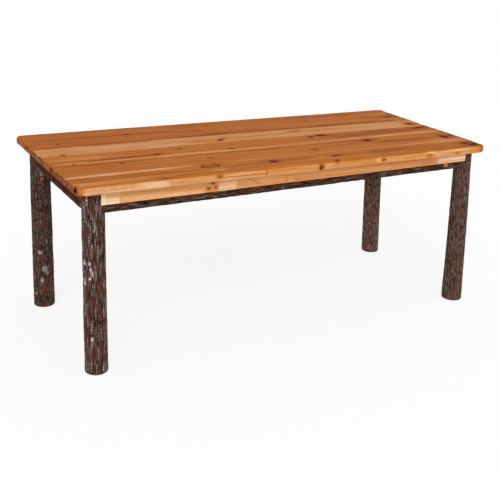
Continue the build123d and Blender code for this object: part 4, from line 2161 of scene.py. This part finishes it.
FRONT_BOARD = BoardLook(
    seed=16,
    tone=0.53,
    pith=(-318, 620),
    streaks=(
        Streak(-925, -259, -480, -257, 31, 0.4),
        Streak(-480, -257, -400, -253, 18, 0.32),
        Streak(-400, -252, 130, -248, 13, 0.22),
        Streak(130, -249, 500, -254, 14, 0.26),
        Streak(500, -255, 700, -256, 20, 0.24),
        Streak(700, -260, 900, -266, 36, 0.22),
        Streak(-915, -284, -560, -282, 11, -0.16),
        Streak(-915, -313, -420, -308, 24, -0.18),
        Streak(-340, -308, 60, -302, 26, -0.2),
        Streak(190, -312, 520, -308, 19, -0.22),
        Streak(-915, -352, -620, -352, 36, 0.2),
        Streak(300, -350, 560, -352, 26, 0.06),
        Streak(330, -325, 930, -325, 110, -0.11),
    ),
    knots=(
        Knot(-371, -281, (34, 20, 40), 0.3, 8, 0.3, 1),
        Knot(-112, -303, (16, 12, 26), 0.95),
        Knot(172, -309, (24, 8, 20), 0.9),
        Knot(130, -377, (16, 7, 14), 0.5, 50),
        Knot(-590, -370, (16, 7, 14), 0.45),
        Knot(-914, -363, (11, 11, 10), 1, 0, 6, 1, through=SLAB_TOP - 12),
        Knot(842, -316, (22, 12, 30), 0.8),
        Knot(874, -346, (30, 15, 40), 0.95, 20, 0.8),
        Knot(-389, FRONT_EDGE, (8, 8, 5), 0.5, through=SLAB_UNDER + 19),
        Knot(48, FRONT_EDGE, (8, 8, 10), 0.9, through=SLAB_UNDER + 12),
        Knot(346, FRONT_EDGE, (6, 8, 4), 0.4, through=SLAB_UNDER + 17),
    ),
    smears=(
        Smear(-360, -340, (26, 12, 20), 0.3),
        Smear(862, -336, (56, 24, 40), -0.34),
        Smear(-575, -358, (18, 8, 20), 0.26),
        Smear(-640, FRONT_EDGE, (46, 6, 12), 0.2, through=SLAB_UNDER + 16),
        Smear(322, FRONT_EDGE, (14, 6, 9), 0.22, through=SLAB_UNDER + 18),
        Smear(348, FRONT_EDGE, (14, 6, 8), -0.34, through=SLAB_UNDER + 16),
        Smear(588, FRONT_EDGE, (17, 6, 7), -0.4, through=SLAB_UNDER + 13),
        Smear(736, FRONT_EDGE, (15, 6, 6), -0.34, through=SLAB_UNDER + 11),
        Smear(860, FRONT_EDGE, (60, 6, 10), -0.16, through=SLAB_UNDER + 14),
        Smear(592, FRONT_EDGE + 4, (26, 6, 5), 0.3, through=SLAB_TOP - 3),
        # A painted highlight along the right part of the top's front arris.
        Smear(780, FRONT_EDGE + 4, (120, 6, 4), 0.3),
        Smear(-195, FRONT_EDGE, (3, 6, 20), -0.35, through=SLAB_UNDER + 14),
        Smear(-282, FRONT_EDGE, (86, 6, 1.6), -0.3, through=SLAB_UNDER + 13),
        DARK_END,
    ),
    blocks=(
        Block(-930, -690, 0.84, 0.02, 34),
        Block(-690, -585, 0.92, 0.02, 26, 0.8),
        Block(-585, -370, 0.84),
        Block(-370, -195, 0.83),
        Block(-195, 48, 0.8),
        Block(48, 350, 0.78),
        Block(350, 592, 0.84, 0.02, 30, 0.5),
        Block(592, 930, 0.82),
    ),
    wear=(Wear(RIGHT_END, FRONT_EDGE, 46, 12), Wear(-RIGHT_END, FRONT_EDGE, 30, 5)),
    strip_edge=FRONT_EDGE + 4,
    rise_axis=2,
)

TOP_BOARDS = (BACK_BOARD, SECOND_BOARD, PALE_BOARD, FOURTH_BOARD, FIFTH_BOARD, FRONT_BOARD)

FRONT_APRON = BoardLook(
    seed=31,
    tone=0.6,
    pith=(25, -120),
    streaks=(
        Streak(-250, 40, 860, 42, 8, 0.08),
        Streak(-150, 12, 860, 10, 8, -0.08),
        Streak(340, 36, 520, 37, 4, -0.22),
    ),
    knots=(
        Knot(-415, 15, (6, 4, 9), 0.7, through=APRON_FACE),
        Knot(-387, 17, (4, 4, 9), 0.7, through=APRON_FACE),
        Knot(-397, 33, (5, 4, 9), 0.6, through=APRON_FACE),
        Knot(-222, 22, (22, 2.5, 9), 0.3, -24, 0.2, 0.2, through=APRON_FACE),
    ),
    smears=(
        Smear(-402, 22, (32, 16, 20), -0.2, through=APRON_FACE),
        Smear(-66, 13, (9, 6, 9), 0.35, through=APRON_FACE),
        Smear(-130, 26, (32, 3, 9), -0.15, through=APRON_FACE),
        Smear(462, 33, (8, 1.6, 9), 0.35, through=APRON_FACE),
        Smear(490, 34, (10, 1.6, 9), 0.35, through=APRON_FACE),
        Smear(615, 20, (42, 9, 9), -0.2, through=APRON_FACE),
    ),
    blocks=(
        Block(-860, -802, 0.95),
        Block(-802, -753, 0.8, 0.05, 15, -0.5),
        Block(-753, -430, 0.6, 0.03, 30, 1.1),
        Block(-373, -300, 0.78, 0.07, 14, 0.4, -0.025),
        Block(-300, -95, 0.58, 0.06, 23, 1.8),
        Block(665, 885, 0.86, 0.05, 15, 0.9, 0.01),
    ),
)

# How far the left and the right end of a side's lower edge and its pole rise. Millimetres.
FRONT_RISE = (-2.5, 7)
RISES = {Side.FRONT: FRONT_RISE, Side.LEFT: (1.5, 1.5)}

LONG_RIBS = BarkPattern(51, rib_width=5.6, rib_length=75, depth=2.2, wander=5, lump=1.4)
SHORT_RIBS = BarkPattern(52, rib_width=4, rib_length=45, depth=1.5, wander=3, lump=1.4)

OLIVE_BARK = Bark(
    "log_bark_olive",
    (1.0, 1.0, 0.35),
    crack=paint(38, 26, 19),
    rust=paint(112, 70, 46),
    brown=paint(96, 72, 58),
    dark=paint(84, 68, 58),
    grey=paint(114, 100, 89),
    pale=paint(142, 130, 118),
    speck=paint(166, 156, 142),
    speck_hills=460.0,
    speck_share=0.68,
    rust_share=0.05,
)


def log_legs(barks: dict[str, Material], sawn: Material) -> tuple[LogLeg, ...]:
    """The four log legs with their own bark.

    Args:
        barks: The finishes of the bark.
        sawn: The finish of the sawn ends and notches.

    Returns:
        The legs.
    """
    return (
        LogLeg(
            "leg_front_left",
            LONG_RIBS,
            barks["blue"],
            sawn,
            lichens=(
                Patch(665, -141, 20, 4, 0.9),
                Patch(437, -164, 11, 7),
                Patch(438, -131, 8, 5),
                Patch(418, -127, 12, 5, 0.9),
                Patch(400, -121, 12, 6, 0.9),
                Patch(379, -131, 7, 5),
                Patch(366, -163, 18, 6, 0.9),
                Patch(500, -118, 6, 4, 0.6),
                Patch(560, -108, 8, 4, 0.5),
                Patch(148, -127, 8, 8, 0.9),
            ),
            scars=(Patch(129, -123, 11, 9, 0.25),),
            shelf_lift=FRONT_RISE[0],
        ),
        LogLeg(
            "leg_front_right",
            SHORT_RIBS,
            barks["dark_olive"],
            sawn,
            lichens=(Patch(366, -38, 9, 7, 0.9),),
            shelf_lift=FRONT_RISE[1] - 1,
        ),
        LogLeg(
            "leg_back_left",
            BarkPattern(53, 4.6, 30, 1.6, 6, 1.4),
            barks["dark"],
            sawn,
            lichens=(
                Patch(588, -98, 14, 9, 0.55),
                Patch(250, -121, 9, 9),
                Patch(176, -98, 15, 12, 0.8),
                Patch(156, -84, 8, 6, 0.8),
                Patch(124, -113, 15, 8, 0.9),
                Patch(62, -156, 7, 6, 0.8),
            ),
            scars=(Patch(566, -99, 12, 9),),
            rusts=(Patch(190, -146, 42, 9, 0.8), Patch(600, -160, 22, 8, 0.8)),
        ),
        LogLeg("leg_back_right", BarkPattern(54, 4, 40, 1.4, 3, 1.4), barks["olive"], sawn),
    )


def make_barks() -> dict[str, Material]:
    """The finishes of the bark.

    Returns:
        The materials, by what tints them or by the rails that wear them.
    """
    finishes = {
        "blue": Bark(
            "log_bark_blue",
            (1.0, 1.0, 0.4),
            rust=paint(104, 54, 30),
            grey=paint(84, 76, 70),
            pale=paint(112, 106, 99),
            speck=paint(164, 168, 166),
            speck_hills=400.0,
            speck_share=0.85,
            rust_share=0.3,
        ),
        "dark": Bark(
            "log_bark_dark", (1.0, 1.0, 0.6), shade=0.28, speck_share=0.6, rust_share=0.6
        ),
        "olive": OLIVE_BARK,
        "dark_olive": replace(
            OLIVE_BARK, name="log_bark_dark_olive", speck_share=0.6, rust_share=0.25, shade=0.3
        ),
        "long_rail": Bark(
            "pole_bark_long",
            (0.3, 1.0, 1.0),
            brown=paint(70, 45, 29),
            dark=paint(66, 49, 35),
            grey=paint(98, 82, 66),
            pale=paint(134, 117, 97),
            speck_share=0.35,
            shade=0.28,
            sheen_level=0.1,
        ),
        "short_rail": Bark(
            "pole_bark_short",
            (1.0, 0.3, 1.0),
            crack=paint(40, 14, 2),
            rust=paint(112, 52, 20),
            brown=paint(96, 52, 26),
            dark=paint(84, 50, 28),
            grey=paint(100, 70, 48),
            pale=paint(124, 92, 68),
            speck_share=0.0,
            shade=0.3,
            sheen_level=0.04,
        ),
    }
    return {tint: finish.material() for tint, finish in finishes.items()}


def build_frame(barks: dict[str, Material], sawn: Material) -> None:
    """Build the aprons, and the bark-on rail under each.

    Args:
        barks: The finishes of the bark.
        sawn: The finish of cut wood.
    """
    pale_wood = PlanedWood("apron_hickory", APRON_STOPS, grain_contrast=0.5).material()
    # The left and right aprons wear painted shade: a darker copy of the apron wood stands for the
    # shade under the top's overhang.
    shaded_apron_wood = PlanedWood("painted_shade_apron_hickory", SHADED_APRON_STOPS, grain_contrast=0.4).material()
    for seed, side in enumerate(Side, start=31):
        long = side in (Side.FRONT, Side.BACK)
        rise = RISES.get(side, (0.0, 0.0))
        plain = BoardLook(seed=seed, tone=0.5, pith=(25.0, -120.0))
        look = FRONT_APRON if side is Side.FRONT else plain
        Apron(side, look, pale_wood if long else shaded_apron_wood, sawn, rise=rise).build()
        pattern = BarkPattern(seed + 10, 6.0, 60.0, 1.3, 3.0, 0.7)
        rail = BarkRail(side, pattern, barks["long_rail" if long else "short_rail"], sawn, rise=rise)
        if side is Side.FRONT:
            rail.cut_branches = ((707.0, 30.0, 13.0),)
            rail.rubbed = ((265.0, 16.0), (560.0, 9.0))
        rail.build()


def dress_hidden_pieces() -> None:
    """Finish the blocks, rails, buttons and fasteners under the top."""
    zinc_bolts = Zinc("zinc_bolts").material()
    zinc_screws = Zinc("zinc_screws", roughness=0.42).material()
    wood = {turn: FrameWood(f"frame_wood_{turn}", turn).material() for turn in (45, 90, 135)}
    corners = {"front_left": 135, "front_right": 45, "back_left": 45, "back_right": 135}
    for name, turn in corners.items():
        dress(f"corner_block_{name}", wood[turn], 1.0)
    for name in ("cross_rail_left", "cross_rail_right", "top_buttons"):
        dress(name, wood[90], 0.8)
    for name in ("hanger_bolts", "bolt_washers", "bolt_nuts"):
        dress(name, zinc_bolts, 0.3)
    for name in ("block_screws", "rail_screws", "button_screws", "cross_rail_screws"):
        dress(name, zinc_screws, 0.2)


def main() -> None:
    """Build the table's looks, piece by piece, and write how large they are."""
    logging.basicConfig(level=logging.INFO, format="%(name)s: %(message)s")
    barks = make_barks()
    sawn = SawnLog().material()
    BoardTop(PlanedWood("top_hickory", HICKORY_STOPS).material(), TOP_BOARDS).build()
    build_frame(barks, sawn)
    for leg in log_legs(barks, sawn):
        leg.build()
    dress_hidden_pieces()
    Studio().build()
    Camera().build()
    bpy.context.scene.view_settings.view_transform = "Standard"


if __name__ == "__main__":
    main()
